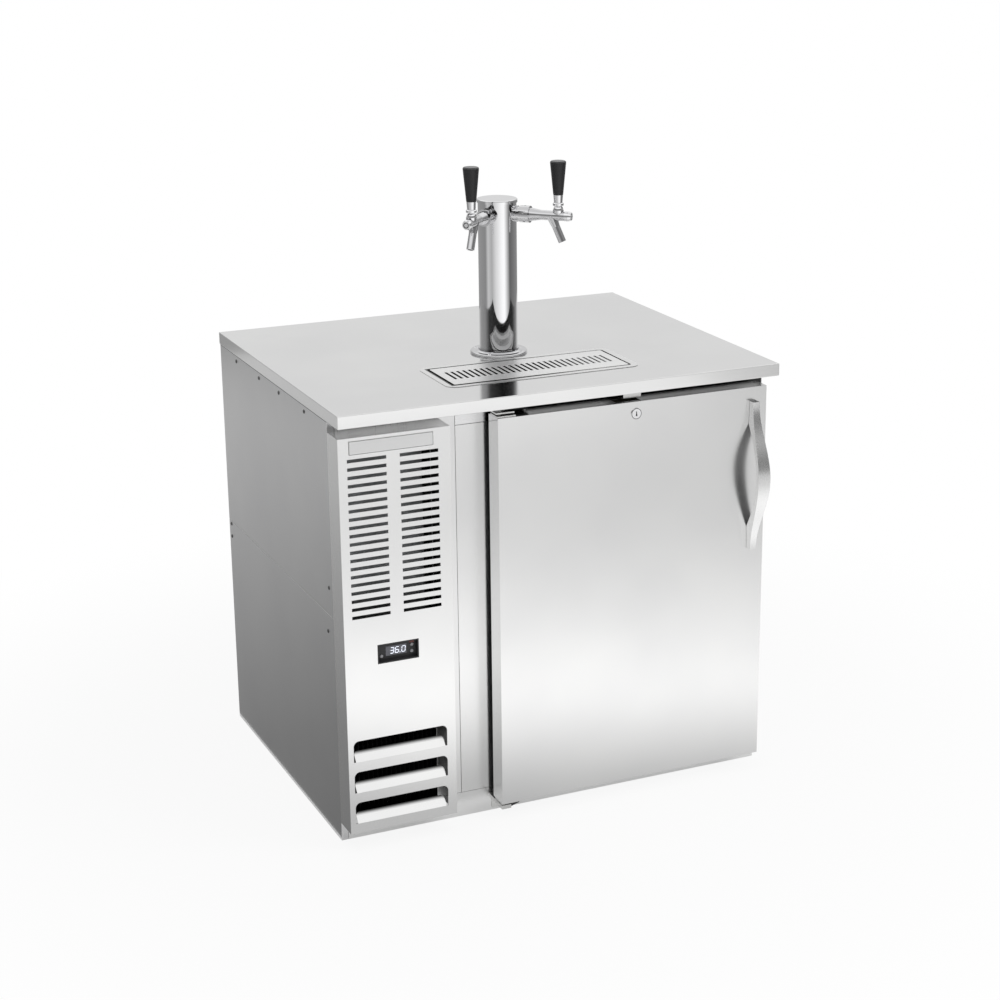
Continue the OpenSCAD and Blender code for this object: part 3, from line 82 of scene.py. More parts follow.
# Node trees: a value is set on its socket, an output is linked to it, and a list links several outputs
def feed(tree, sockets, amounts):
    for key, amount in amounts.items():
        if isinstance(amount, bpy.types.NodeSocket):
            tree.links.new(amount, sockets[key])
        elif isinstance(amount, list):
            for output in amount:
                tree.links.new(output, sockets[key])
        else:
            sockets[key].default_value = amount


def addNode(tree, kind, amounts=None, **settings):
    node = tree.nodes.new(kind)
    for key, value in settings.items():
        setattr(node, key, value)
    feed(tree, node.inputs, amounts or {})
    return node.outputs


def calc(tree, operation, *amounts):
    return addNode(tree, "ShaderNodeMath", dict(enumerate(amounts)), operation=operation)[0]


def splitAxes(tree, vector):
    return addNode(tree, "ShaderNodeSeparateXYZ", {0: vector})


def rangeOf(tree, value, low, high, toLow=0.0, toHigh=1.0, **settings):
    ends = {"From Min": low, "From Max": high, "To Min": toLow, "To Max": toHigh}
    return addNode(tree, "ShaderNodeMapRange", {"Value": value, **ends}, **settings)["Result"]


def smoothRange(tree, *amounts):
    return rangeOf(tree, *amounts, interpolation_type="SMOOTHSTEP")


def multiply(tree, first, second):
    settings = {"data_type": "RGBA", "blend_type": "MULTIPLY"}
    return addNode(tree, "ShaderNodeMix", {0: 1.0, 6: first, 7: second}, **settings)[2]


def blend(tree, share, first, second):
    return addNode(tree, "ShaderNodeMix", {0: share, 2: first, 3: second}, data_type="FLOAT")[0]


def colorRamp(tree, share, stops):
    ramp = tree.nodes.new("ShaderNodeValToRGB")
    elements = ramp.color_ramp.elements
    while len(elements) < len(stops):
        elements.new(0.5)
    for element, (place, color) in zip(elements, stops):
        element.position = place
        element.color = (*color, 1.0)
    tree.links.new(share, ramp.inputs["Fac"])
    return ramp.outputs["Color"]


def toneRamp(tree, share, tones):
    return colorRamp(tree, share, [(place, (tone, tone, tone)) for place, tone in tones])


def objectPlace(tree):
    return addNode(tree, "ShaderNodeTexCoord")["Object"]


def scaledPlace(tree, scale):
    return addNode(tree, "ShaderNodeMapping", {"Vector": objectPlace(tree), "Scale": scale})["Vector"]


def noiseOn(tree, scale, detail=2.0):
    amounts = {"Vector": scaledPlace(tree, scale), "Scale": 1.0, "Detail": detail}
    return addNode(tree, "ShaderNodeTexNoise", amounts)["Fac"]


def cellsOn(tree, scale):
    return addNode(tree, "ShaderNodeTexVoronoi", {"Vector": scaledPlace(tree, scale), "Scale": 1.0})


def bumpFrom(tree, height, strength, distance):
    amounts = {"Height": height, "Strength": strength, "Distance": distance}
    return addNode(tree, "ShaderNodeBump", amounts)["Normal"]


# Noise stays mostly between these two values, which are spread over the whole of a range
noiseSpan = {"low": 0.25, "high": 0.75}


def spread(tree, noise, low, high):
    return rangeOf(tree, noise, noiseSpan["low"], noiseSpan["high"], low, high)


def mottle(tree, noise, dark, pale, low=0.3, high=0.7):
    return colorRamp(tree, noise, ((low, dark), (high, pale)))


def shade(color, factor):
    return tuple(min(1.0, c * factor) for c in color)


def startMaterial(name):
    mat = bpy.data.materials.new(name)
    mat.use_nodes = True
    return mat, mat.node_tree, mat.node_tree.nodes["Principled BSDF"].inputs


# Metal with a straight brushed grain: few changes along it, many across
brushing = {"detail": 3.0, "cloudScale": (5.0, 5.0, 5.0), "cloudTone": (0.95, 0.95, 0.955), "depth": 0.0002}
# Tone, roughness, changes of the grain in a metre along X, Y and Z, contrast, bump and blur
brushedMetals = {
    "worktopSteel": ((0.88, 0.88, 0.875), 0.11, (6.0, 700.0, 700.0), 0.006, 0.001, 0.015),
    "doorSteel": ((0.84, 0.84, 0.835), 0.22, (2.0, 700.0, 700.0), 0.004, 0.0002, 0.006),
    "sideSteel": ((0.72, 0.72, 0.72), 0.28, (700.0, 700.0, 2.0), 0.004, 0.0002, 0.006),
    "coverSteel": ((0.86, 0.86, 0.855), 0.25, (700.0, 700.0, 2.0), 0.004, 0.0002, 0.006),
    "louvreSteel": ((0.86, 0.86, 0.855), 0.25, (700.0, 700.0, 2.0), 0.004, 0.0002, 0.006),
    "edgeSteel": ((0.88, 0.88, 0.875), 0.22, (300.0, 300.0, 300.0), 0.02),
    "handleSteel": ((0.85, 0.85, 0.845), 0.27, (700.0, 700.0, 3.0), 0.01, 0.0005, 0.01),
    # handleBack: dark steel on the handle's faces towards the door, painted shade
    "handleBack": ((0.20, 0.20, 0.20), 0.5, (700.0, 700.0, 3.0), 0.03, 0.004),
    # bayDusty: the bay frame's steel; painted shade darkens it inside the bay, in the layers below
    "bayDusty": ((0.86, 0.86, 0.855), 0.3, (700.0, 700.0, 6.0), 0.01, 0.001),
    "underShade": ((0.88, 0.88, 0.88), 0.25, (6.0, 300.0, 300.0), 0.02, 0.001),
    "railSteel": ((0.92, 0.92, 0.92), 0.3, (6.0, 700.0, 700.0), 0.01, 0.001),
    "traySteel": ((0.86, 0.86, 0.855), 0.34, (3.0, 620.0, 620.0), 0.02, 0.004),
    "grateSteel": ((0.90, 0.90, 0.895), 0.40, (3.0, 620.0, 620.0), 0.02, 0.004),
    "finAluminium": ((0.7, 0.71, 0.72), 0.35, (300.0, 300.0, 20.0), 0.05),
    # finDusty: the condenser coil made near black, as painted shade behind the air slots
    "finDusty": ((0.025, 0.025, 0.026), 0.7, (300.0, 300.0, 20.0), 0.05),
}


def brushedMetal(name, tone, rough, grain, contrast, bump=0.05, blur=0.04):
    mat, tree, skin = startMaterial(name)
    streak = noiseOn(tree, grain, brushing["detail"])
    grainColor = mottle(tree, streak, shade(tone, 1 - contrast), shade(tone, 1 + contrast))
    cloud = mottle(tree, noiseOn(tree, brushing["cloudScale"]), brushing["cloudTone"], (1.0, 1.0, 1.0))
    feed(tree, skin, {"Base Color": multiply(tree, grainColor, cloud), "Metallic": 1.0,
                      "Roughness": spread(tree, streak, rough - blur, rough + blur),
                      "Normal": bumpFrom(tree, streak, bump, brushing["depth"])})
    return mat


# Polished plating with faint wiping marks
polishing = {"scale": (28.0, 28.0, 9.0), "detail": 4.0, "dull": 0.96}
# Tone, roughness and how much rougher the marks are
polishedMetals = {
    "chromePlate": ((0.86, 0.86, 0.87), 0.035),
    # chromeShade is chromePlate made darker, as painted shade on the faucets, nuts, shanks and flange
    "chromeShade": ((0.68, 0.68, 0.69), 0.05),
    "zincPlate": ((0.74, 0.74, 0.73), 0.2, 0.12),
    "screwDull": ((0.14, 0.14, 0.14), 0.35, 0.1),
    "copperTube": ((0.74, 0.42, 0.27), 0.22, 0.14),
}


def polishedMetal(name, tone, rough, wipe=0.03):
    mat, tree, skin = startMaterial(name)
    cloud = noiseOn(tree, polishing["scale"], polishing["detail"])
    feed(tree, skin, {"Base Color": mottle(tree, cloud, shade(tone, polishing["dull"]), tone),
                      "Roughness": spread(tree, cloud, rough, rough + wipe), "Metallic": 1.0})
    return mat


# How far the roughness of dull coats varies
dullSpan = {"below": 0.06, "above": 0.08}


def dullRoughness(tree, noise, rough):
    return spread(tree, noise, rough - dullSpan["below"], rough + dullSpan["above"])


# Moulded plastic, rubber and paint: mottled colour with a fine pebbled skin
moulding = {"cloudScale": (14.0, 14.0, 14.0), "cloudDetail": 3.0, "depth": 0.0003}
# Tone, roughness, pebbles in a metre, bump and mottling
mouldedSkins = {
    "tapBlack": ((0.010, 0.010, 0.011), 0.36, 700.0, 0.06),
    # tapRim: lighter than tapBlack, a painted sheen for the tops and edges of the tap handles
    "tapRim": ((0.09, 0.09, 0.092), 0.3, 700.0, 0.05),
    "controlBlack": ((0.028, 0.028, 0.03), 0.5, 1200.0, 0.15),
    "keyGrey": ((0.42, 0.42, 0.44), 0.45, 1200.0, 0.1),
    "displayGlass": ((0.16, 0.163, 0.19), 0.2, 300.0, 0.0, 0.05),
    "machineBlack": ((0.035, 0.035, 0.037), 0.36, 500.0, 0.15),
    "fanGrey": ((0.12, 0.12, 0.125), 0.45, 700.0, 0.1),
    "linerWhite": ((0.80, 0.81, 0.80), 0.34, 600.0, 0.05, 0.02),
    "gasketRubber": ((0.03, 0.03, 0.031), 0.55, 800.0, 0.2),
    "hoseClear": ((0.78, 0.77, 0.70), 0.22, 300.0, 0.03, 0.04),
    "plateWhite": ((0.86, 0.86, 0.86), 0.32, 900.0, 0.03, 0.02),
}


def mouldedSkin(name, tone, rough, pebble, bump, vary=0.12):
    mat, tree, skin = startMaterial(name)
    fine = noiseOn(tree, (pebble, pebble, pebble))
    cloud = noiseOn(tree, moulding["cloudScale"], moulding["cloudDetail"])
    feed(tree, skin, {"Base Color": mottle(tree, cloud, shade(tone, 1 - vary), shade(tone, 1 + vary)),
                      "Roughness": dullRoughness(tree, fine, rough),
                      "Normal": bumpFrom(tree, fine, bump, moulding["depth"])})
    return mat


# Zinc coat with its crystal spangle
spangle = {"scale": (90.0, 90.0, 90.0), "dark": 0.86, "pale": 1.06, "from": 0.1, "to": 0.9,
           "cloudScale": (40.0, 40.0, 40.0), "metallic": 0.85}
# Tone and roughness
# zincShade is zincSheet made darker: painted shade for the baffle behind the air slots
zincCoats = {"zincSheet": ((0.62, 0.64, 0.65), 0.42), "zincShade": ((0.34, 0.35, 0.36), 0.5)}


def spangledZinc(name, tone, rough):
    mat, tree, skin = startMaterial(name)
    crystals = cellsOn(tree, spangle["scale"])["Color"]
    dark, pale = shade(tone, spangle["dark"]), shade(tone, spangle["pale"])
    cloud = noiseOn(tree, spangle["cloudScale"])
    feed(tree, skin, {"Base Color": mottle(tree, crystals, dark, pale, spangle["from"], spangle["to"]),
                      "Roughness": dullRoughness(tree, cloud, rough), "Metallic": spangle["metallic"]})
    return mat


# Rigid foam with open cells
foamCells = {"scale": (450.0, 450.0, 450.0), "dark": 0.8, "from": 0.2, "to": 0.8, "rough": 0.9, "bump": 0.4,
             "depth": 0.0006}
foams = {"foamCream": ((0.86, 0.78, 0.55),)}


def rigidFoam(name, tone):
    mat, tree, skin = startMaterial(name)
    cells = cellsOn(tree, foamCells["scale"])["Distance"]
    dark = shade(tone, foamCells["dark"])
    feed(tree, skin, {"Base Color": mottle(tree, cells, tone, dark, foamCells["from"], foamCells["to"]),
                      "Roughness": foamCells["rough"],
                      "Normal": bumpFrom(tree, cells, foamCells["bump"], foamCells["depth"])})
    return mat


# Lit marks of the display
glowing = {"scale": (260.0, 260.0, 260.0), "dim": 0.9, "rough": 0.4}
# Tone and strength
litMarks = {"digitWhite": ((0.86, 0.9, 1.0), 0.9), "ledRed": ((0.16, 0.035, 0.03), 0.1)}


def litMark(name, tone, power):
    mat, tree, skin = startMaterial(name)
    glow = mottle(tree, noiseOn(tree, glowing["scale"]), shade(tone, glowing["dim"]), tone)
    feed(tree, skin, {"Base Color": glow, "Emission Color": glow, "Emission Strength": power,
                      "Roughness": glowing["rough"]})
    return mat


finish = {}
for make, kinds in ((brushedMetal, brushedMetals), (polishedMetal, polishedMetals), (spangledZinc, zincCoats),
                    (rigidFoam, foams), (mouldedSkin, mouldedSkins), (litMark, litMarks)):
    for name, values in kinds.items():
        finish[name] = make(name, *values)
print("finishes made:", len(finish))


# Painted shade: the tone left, and ranges along the axes, from unshaded to fully shaded, that all have to be
# full
paintedShadeLayers = (
    # painted shade on the louvre blades inside the machine cover's air slots
    ("louvreSteel", 0.04, ("Y", -0.3515, -0.3460), ("X", -0.4545, -0.4535), ("Z", 0.32, 0.30)),
    # painted shade inside the machine bay behind the slots
    ("bayDusty", 0.30, ("Y", -0.3030, -0.3022), ("Z", 0.40, 0.30)),
    ("bayDusty", 0.04, ("Y", -0.3030, -0.3022), ("Y", -0.02, -0.12), ("Z", 0.30, 0.36)),
    ("bayDusty", 0.04, ("X", -0.2380, -0.2392), ("Z", 0.30, 0.36), ("Z", 0.802, 0.792)),
    # painted shade on the worktop's underside over the door
    ("underShade", 0.58, ("X", -0.215, -0.195)),
    # painted shadow line on the top rail under the worktop
    ("railSteel", 0.05, ("Z", 0.832, 0.829), ("X", -0.146, -0.140)),
    # painted shadow along the grate's front and left edges
    ("grateSteel", 0.03, ("Z", 0.86615, 0.86575), ("X", 0.14, -0.02)),
    # painted shadow line on the side panels under the worktop
    ("sideSteel", 0.25, ("Z", 0.8374, 0.8388)),
    # painted shade on the foam where it is seen through gaps, near the top and at the front
    ("foamCream", 0.05, ("Z", 0.785, 0.79)),
    ("foamCream", 0.05, ("Y", -0.29, -0.298), ("Y", -0.312, -0.308)),
    # painted shadow inside the drip tray's opening along its left and front edges
    ("traySteel", 0.05, ("Z", 0.70, 0.77), ("X", -0.1905, -0.1895), ("X", 0.10, -0.05),
     ("Y", -0.2578, -0.2568), ("Y", -0.1145, -0.1155)),
)


def alongAxis(tree, axis, start, end):
    return smoothRange(tree, splitAxes(tree, objectPlace(tree))[axis], start, end)


# Darkens a finish with painted shade inside the given ranges
def addPaintedShade(mat, left, ranges):
    tree = mat.node_tree
    target = tree.nodes["Principled BSDF"].inputs["Base Color"]
    unshadedColor = target.links[0].from_socket
    joined = alongAxis(tree, *ranges[0])
    for more in ranges[1:]:
        joined = calc(tree, "MULTIPLY", joined, alongAxis(tree, *more))
    shadeFactor = toneRamp(tree, joined, ((0.0, 1.0), (1.0, left)))
    tree.links.new(multiply(tree, unshadedColor, shadeFactor), target)


for name, left, *ranges in paintedShadeLayers:
    addPaintedShade(finish[name], left, ranges)
print("painted shade laid:", len(paintedShadeLayers))


# Finish of each material slot, and of the nodes that differ from their slot
slotFinish = {
    "stainless": "doorSteel", "galvanised": "zincSheet", "foam": "foamCream", "plated_steel": "zincPlate",
    "chrome": "chromePlate", "tap_black": "tapBlack", "control_black": "controlBlack",
    "display_glass": "displayGlass", "machine_black": "machineBlack", "coil_aluminium": "finAluminium",
    "copper": "copperTube", "fan_plastic": "fanGrey", "liner_white": "linerWhite",
    "gasket_rubber": "gasketRubber", "hose": "hoseClear",
}
ownFinish = {
    "worktop": "worktopSteel", "side_left_upper": "sideSteel", "side_left_lower": "sideSteel",
    "side_right": "sideSteel", "machine_cover": "louvreSteel", "top_rail": "railSteel",
    "bay_frame": "bayDusty", "drip_tray": "traySteel", "drip_grate": "grateSteel", "keg_floor": "traySteel",
    "door_handle": "handleSteel", "case_screws": "screwDull", "condenser_coil": "finDusty",
    "faucet_left": "chromeShade", "faucet_right": "chromeShade", "coupling_nuts": "chromeShade",
    "shanks": "chromeShade", "tower_flange": "chromeShade", "button_set": "keyGrey", "button_up": "keyGrey",
    "button_down": "keyGrey", "inner_liner": "linerWhite", "evaporator_cover": "linerWhite",
}


def finishOf(name):
    return ownFinish.get(name, slotFinish[slotOf[name]])


for name, obj in nodes.items():
    obj.data.materials.clear()
    obj.data.materials.append(finish[finishOf(name)])
print("nodes finished")


def addPiece(name, mesh, body, replaced=()):
    obj = bpy.data.objects.new(name, mesh)
    scene.collection.objects.link(obj)
    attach(obj, body)
    if replaced:
        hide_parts(*replaced)
    return obj


def boxOf(name):
    low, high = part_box(name)
    return Vector(low), Vector(high)


def meshFrom(bm, name, finishNames, smoothAngle=30.0):
    mesh = bpy.data.meshes.new(name)
    bm.to_mesh(mesh)
    bm.free()
    for finishName in finishNames:
        mesh.materials.append(finish[finishName])
    for poly in mesh.polygons:
        poly.use_smooth = True
    mesh.set_sharp_from_angle(angle=math.radians(smoothAngle))
    return mesh


# A holder object carries one modifier, and goes once its shaped mesh is taken
def startHolder(name, mesh, kind):
    holder = bpy.data.objects.new(name + "Source", mesh)
    scene.collection.objects.link(holder)
    return holder, holder.modifiers.new("shaping", kind)


def takeMesh(holder, modifier, name):
    ready = holder.evaluated_get(bpy.context.evaluated_depsgraph_get())
    mesh = bpy.data.meshes.new_from_object(ready)
    holder.modifiers.remove(modifier)
    bpy.data.objects.remove(holder)
    mesh.name = name
    return mesh


# Large flat faces keep their normals, so that a rounded edge doesn't bend the light on them
def weighNormals(mesh):
    holder, modifier = startHolder(mesh.name, mesh, "WEIGHTED_NORMAL")
    modifier.mode = "FACE_AREA"
    modifier.weight = 100
    modifier.keep_sharp = True
    return takeMesh(holder, modifier, mesh.name + "Weighed")


def sharpEdges(bm, least):
    folded = [e for e in bm.edges if len(e.link_faces) == 2]
    return [e for e in folded if e.calc_face_angle(0.0) > math.radians(least)]


def roundEdges(bm, edges, radius, **settings):
    bmesh.ops.bevel(bm, geom=edges, offset=radius, segments=2, profile=0.5, affect="EDGES", **settings)


# Folded and machined pieces get a small edge radius that catches the light
edgeRadius = {
    "worktop": 0.0014, "door_skin": 0.0013, "side_left_upper": 0.0004,
    "side_left_lower": 0.0004, "side_right": 0.0004, "top_rail": 0.0004, "hinge_stile": 0.0004,
    "base_rail": 0.0004, "bay_frame": 0.0004, "hinge_plates": 0.0006, "hinge_brackets": 0.0006,
    "lock_strike": 0.0005, "controller_case": 0.0005, "drip_tray": 0.0004, "drip_grate": 0.0008,
    "door_liner": 0.0025, "keg_floor": 0.0012, "evaporator_cover": 0.0006, "tap_handle_left": 0.0004,
    "tap_handle_right": 0.0004, "lock_cam": 0.0004,
}
# The edges of most of them are bare steel; the tap handles' edges are painted lighter as a sheen
edgeFinish = {"controller_case": "controlBlack", "drip_grate": "grateSteel", "door_liner": "linerWhite",
              "evaporator_cover": "linerWhite", "tap_handle_left": "tapRim", "tap_handle_right": "tapRim"}
# Faces that look down or up and have a finish of their own: painted shade under the worktop, a painted
# lighter sheen on the tap handles' tops
flatFinish = {"worktop": ("underShade", -1), "tap_handle_left": ("tapRim", 1),
              "tap_handle_right": ("tapRim", 1)}
# Angles in degrees; level is how far the normal of such a face has to point down or up
softening = {"weld": 1e-6, "straight": 0.4, "sharp": 35.0, "level": 0.9}


def softenNode(name, radius, p):
    bm = bmesh.new()
    bm.from_mesh(nodes[name].data)
    for face in bm.faces:
        face.material_index = 0
    bmesh.ops.remove_doubles(bm, verts=bm.verts, dist=p["weld"])
    bmesh.ops.dissolve_limit(bm, angle_limit=math.radians(p["straight"]), verts=bm.verts, edges=bm.edges)
    roundEdges(bm, sharpEdges(bm, p["sharp"]), radius, clamp_overlap=True, material=1)
    finishNames = (finishOf(name), edgeFinish.get(name, "edgeSteel"))
    mesh = weighNormals(meshFrom(bm, name + "Soft", finishNames))
    if name in flatFinish:
        flat, facing = flatFinish[name]
        mesh.materials.append(finish[flat])
        for poly in mesh.polygons:
            if poly.normal.z * facing > p["level"]:
                poly.material_index = 2
    return addPiece(name + ".soft", mesh, bodyOf[name], [name])


for name, radius in edgeRadius.items():
    softenNode(name, radius, softening)
print("edges softened:", len(edgeRadius))


# Rings of points joined by quads, or by triangles where the next ring is one point
def joinRings(bm, rings, material=0):
    for a, b in zip(rings, rings[1:]):
        for k in range(len(a)):
            j = (k + 1) % len(a)
            corners = (a[k], a[j], b[0]) if len(b) == 1 else (a[k], a[j], b[j], b[k])
            bm.faces.new(corners).material_index = material


def closeEnds(bm, rings):
    bm.faces.new(list(reversed(rings[0])))
    bm.faces.new(rings[-1])
    bmesh.ops.recalc_face_normals(bm, faces=bm.faces)


# Bow handle, lofted along its height; its faces that look at the door are a duller back, painted dark as
# shade
bowHandle = {"endWidth": 0.014, "endDepth": 0.015, "strap": 0.009, "foot": 0.046, "round": 0.0009,
             "stations": 96, "smooth": 50.0, "backward": 0.35}


def roundSection(width, near, far, corner, steps=3):
    half = width / 2
    points = []
    for cx, cy, start in ((half - corner, far + corner, -90), (half - corner, near - corner, 0),
                          (-half + corner, near - corner, 90), (-half + corner, far + corner, 180)):
        for i in range(steps + 1):
            a = math.radians(start + 90 * i / steps)
            points.append((cx + corner * math.cos(a), cy + corner * math.sin(a)))
    return points


def buildBowHandle(p):
    low, high = boxOf("door_handle")
    middle, size = (low + high) / 2, high - low
    inner = size.z - 2 * p["foot"]
    bm = bmesh.new()
    rings = []
    for i in range(p["stations"] + 1):
        t = i / p["stations"] - 0.5
        swell = (1 + math.cos(2 * math.pi * t)) / 2
        z = size.z * t
        depth = p["endDepth"] + (size.y - p["endDepth"]) * swell
        width = p["endWidth"] + (size.x - p["endWidth"]) * swell
        hollow = 0.0
        if abs(z) < inner / 2:
            hollow = (size.y - p["strap"]) * math.cos(math.pi * z / inner)
        section = roundSection(width, high.y - hollow, high.y - depth, p["round"])
        rings.append([bm.verts.new((middle.x + x, y, middle.z + z)) for x, y in section])
    joinRings(bm, rings)
    closeEnds(bm, rings)
    mesh = weighNormals(meshFrom(bm, "bowHandle", ("handleSteel", "handleBack"), p["smooth"]))
    for poly in mesh.polygons:
        if poly.normal.y > p["backward"]:
            poly.material_index = 1
    return addPiece("bowHandle", mesh, "door", ["door_handle"])


buildBowHandle(bowHandle)
print("bow handle lofted")


# Door gasket: a bellows section carried round the door, mitred at the corners
gasketSection = {"points": ((-0.0105, 0.0), (-0.0105, 0.0009), (0.0, 0.0024), (0.0036, 0.0042),
                            (0.0004, 0.0074), (0.0004, 0.0123), (0.0156, 0.0123), (0.0156, 0.0074),
                            (0.0124, 0.0042), (0.016, 0.0024), (0.016, 0.0)),
                 "sharp": 20.0, "round": 0.0005}


def buildGasket(p):
    low, high = boxOf("door_gasket")
    bm = bmesh.new()
    loops = []
    for across, out in p["points"]:
        left, right, bottom, top = low.x + across, high.x - across, low.z + across, high.z - across
        corners = ((left, bottom), (right, bottom), (right, top), (left, top))
        loops.append([bm.verts.new((x, low.y + out, z)) for x, z in corners])
    joinRings(bm, loops + loops[:1])
    bmesh.ops.recalc_face_normals(bm, faces=bm.faces)
    roundEdges(bm, sharpEdges(bm, p["sharp"]), p["round"], clamp_overlap=True)
    mesh = meshFrom(bm, "doorSeal", ["gasketRubber"])
    return addPiece("doorSeal", mesh, "door", ["door_gasket"])


buildGasket(gasketSection)
print("gasket built")


def addBox(bm, low, high, material=0):
    made = bmesh.ops.create_cube(bm, size=1.0)
    bmesh.ops.scale(bm, vec=Vector(high) - Vector(low), verts=made["verts"])
    bmesh.ops.translate(bm, vec=(Vector(high) + Vector(low)) / 2, verts=made["verts"])
    for face in {f for v in made["verts"] for f in v.link_faces}:
        face.material_index = material


# Sheets seen only past the machine cover: its upper fold, and the baffle behind its air slots in darker zinc
# as painted shade
coverSheets = {
    "coverFold": {"low": (-0.4540, -0.3590, 0.8188), "high": (-0.2390, -0.3040, 0.8200),
                  "finish": "coverSteel", "slotName": "stainless"},
    "bayBaffle": {"low": (-0.4400, -0.2960, 0.4250), "high": (-0.2700, -0.2948, 0.8000),
                  "finish": "zincShade", "slotName": "galvanised"},
}


def addSheet(name, p):
    bm = bmesh.new()
    addBox(bm, p["low"], p["high"])
    return addPiece(name, meshFrom(bm, name, [p["finish"]]), "cabinet")


for name, sheet in coverSheets.items():
    addSheet(name, sheet)
print("sheets added:", len(coverSheets))


# Bare plate at the head of the machine cover, with a thin dark frame
namePlate = {"x": (-0.435, -0.271), "z": (0.788, 0.814), "thick": 0.0006, "sunk": 0.0002, "line": 0.0011,
             "round": 0.0003}


def buildNamePlate(p):
    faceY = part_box("machine_cover")[0][1]
    bm = bmesh.new()
    addBox(bm, *zip(p["x"], (faceY - p["thick"], faceY + p["sunk"]), p["z"]), 1)
    roundEdges(bm, list(bm.edges), p["round"])
    front = min(bm.faces, key=lambda f: f.calc_center_median().y)
    inset = bmesh.ops.inset_region(bm, faces=[front], thickness=p["line"], depth=0.0)
    front.material_index = 0
    for face in inset["faces"]:
        face.material_index = 1
    mesh = meshFrom(bm, "namePlate", ("plateWhite", "controlBlack"))
    return addPiece("namePlate", mesh, "cabinet")


buildNamePlate(namePlate)
print("bare plate fixed")


# A flat outline made a prism, towards the front
def addPrism(bm, corners, depth):
    face = bm.faces.new([bm.verts.new(corner) for corner in corners])
    grown = bmesh.ops.extrude_face_region(bm, geom=[face])
    moved = [v for v in grown["geom"] if isinstance(v, bmesh.types.BMVert)]
    bmesh.ops.translate(bm, vec=(0, -depth, 0), verts=moved)


# Temperature on the display, in seven-segment digits, and a red mark beside it
readout = {"value": "36.0", "height": 0.0112, "width": 0.0067, "pitch": 0.0100, "bar": 0.0013, "lean": 0.12,
           "proud": 0.0003, "gap": 0.0003, "point": 0.0030, "halfDot": 0.0008, "right": 0.0034,
           "mark": ((-0.3250, -0.3509, 0.4050), (-0.3150, -0.3502, 0.4092))}
segmentSets = {"0": "abcdef", "3": "abcdg", "6": "acdefg"}


def segmentLines(w, h):
    return {"a": ((0, h), (w, h)), "b": ((w, h), (w, h / 2)), "c": ((w, h / 2), (w, 0)),
            "d": ((0, 0), (w, 0)), "e": ((0, h / 2), (0, 0)), "f": ((0, h), (0, h / 2)),
            "g": ((0, h / 2), (w, h / 2))}


def segmentShape(start, end, bar, gap):
    a, b = Vector(start), Vector(end)
    along = (b - a).normalized()
    side = Vector((-along.y, along.x)) * bar / 2
    a, b = a + along * gap, b - along * gap
    near, far = a + along * bar / 2, b - along * bar / 2
    return [a, near + side, far + side, b, far - side, near - side]


def buildReadout(p):
    low, high = boxOf("display_window")
    lines = segmentLines(p["width"], p["height"])
    dot = p["halfDot"]
    shapes = []
    cursor = 0.0
    for mark in p["value"]:
        if mark == ".":
            dotX = cursor - p["pitch"] + p["width"] + p["point"]
            corners = ((-dot, -dot), (dot, -dot), (dot, dot), (-dot, dot))
            shapes.append([Vector((dotX + x, z)) for x, z in corners])
            cursor += p["point"]
            continue
        for key in segmentSets[mark]:
            shape = segmentShape(*lines[key], p["bar"], p["gap"])
            shapes.append([q + Vector((cursor, 0)) for q in shape])
        cursor += p["pitch"]
    total = cursor - p["pitch"] + p["width"]
    originX = (low.x + high.x) / 2 - total / 2 + p["right"]
    originZ = (low.z + high.z) / 2 - p["height"] / 2
    bm = bmesh.new()
    for shape in shapes:
        corners = [(originX + q.x + p["lean"] * (q.y - p["height"] / 2), low.y, originZ + q.y) for q in shape]
        addPrism(bm, corners, p["proud"])
    bmesh.ops.recalc_face_normals(bm, faces=bm.faces)
    addBox(bm, *p["mark"], 1)
    mesh = meshFrom(bm, "readout", ("digitWhite", "ledRed"))
    return addPiece("readout", mesh, "cabinet")


buildReadout(readout)
print("readout set")


# Place of a turned form whose axis points along an aim
def turnedPlace(middle, aim):
    return Matrix.Translation(middle) @ aim.to_track_quat("Z", "Y").to_matrix().to_4x4()


# A turned profile: radius as a share of the whole one, and height; a share of zero is the tip
def addTurned(bm, profile, radius, place, parts, material):
    rings = []
    for share, height in profile:
        turns = [2 * math.pi * k / parts for k in range(parts if share else 1)]
        rings.append([bm.verts.new(place @ Vector((share * radius * math.cos(a), share * radius * math.sin(a),
                                                   height))) for a in turns])
    joinRings(bm, rings, material)


# Rings turned into the front plugs of the faucets; the groove between them is black, as painted shade
plugTurning = {"aim": (0.7193, -0.6947), "flush": 1e-5, "parts": 40,
               "groove": ((0.70, 0.0), (0.70, 0.0001), (0.0, 0.0001)),
               "ring": ((0.95, 0.0), (0.93, 0.0006), (0.70, 0.0006), (0.68, 0.0)),
               "middle": ((0.52, 0.0), (0.48, 0.0005), (0.0, 0.0007))}


def buildPlugRings(p):
    bm = bmesh.new()
    points = [v.co.copy() for v in nodes["faucet_plugs"].data.vertices]
    for side in (-1, 1):
        aim = Vector((side * p["aim"][0], p["aim"][1], 0.0))
        own = [q for q in points if q.x * side > 0]
        front = max(q.dot(aim) for q in own)
        rim = [q for q in own if q.dot(aim) > front - p["flush"]]
        middle = sum(rim, Vector()) / len(rim)
        radius = max((q - middle).length for q in rim)
        place = turnedPlace(middle, aim)
        for key, material in (("groove", 1), ("ring", 0), ("middle", 0)):
            addTurned(bm, p[key], radius, place, p["parts"], material)
    mesh = meshFrom(bm, "plugRings", ("chromePlate", "controlBlack"))
    return addPiece("plugRings", mesh, "cabinet")


buildPlugRings(plugTurning)
print("plugs turned")


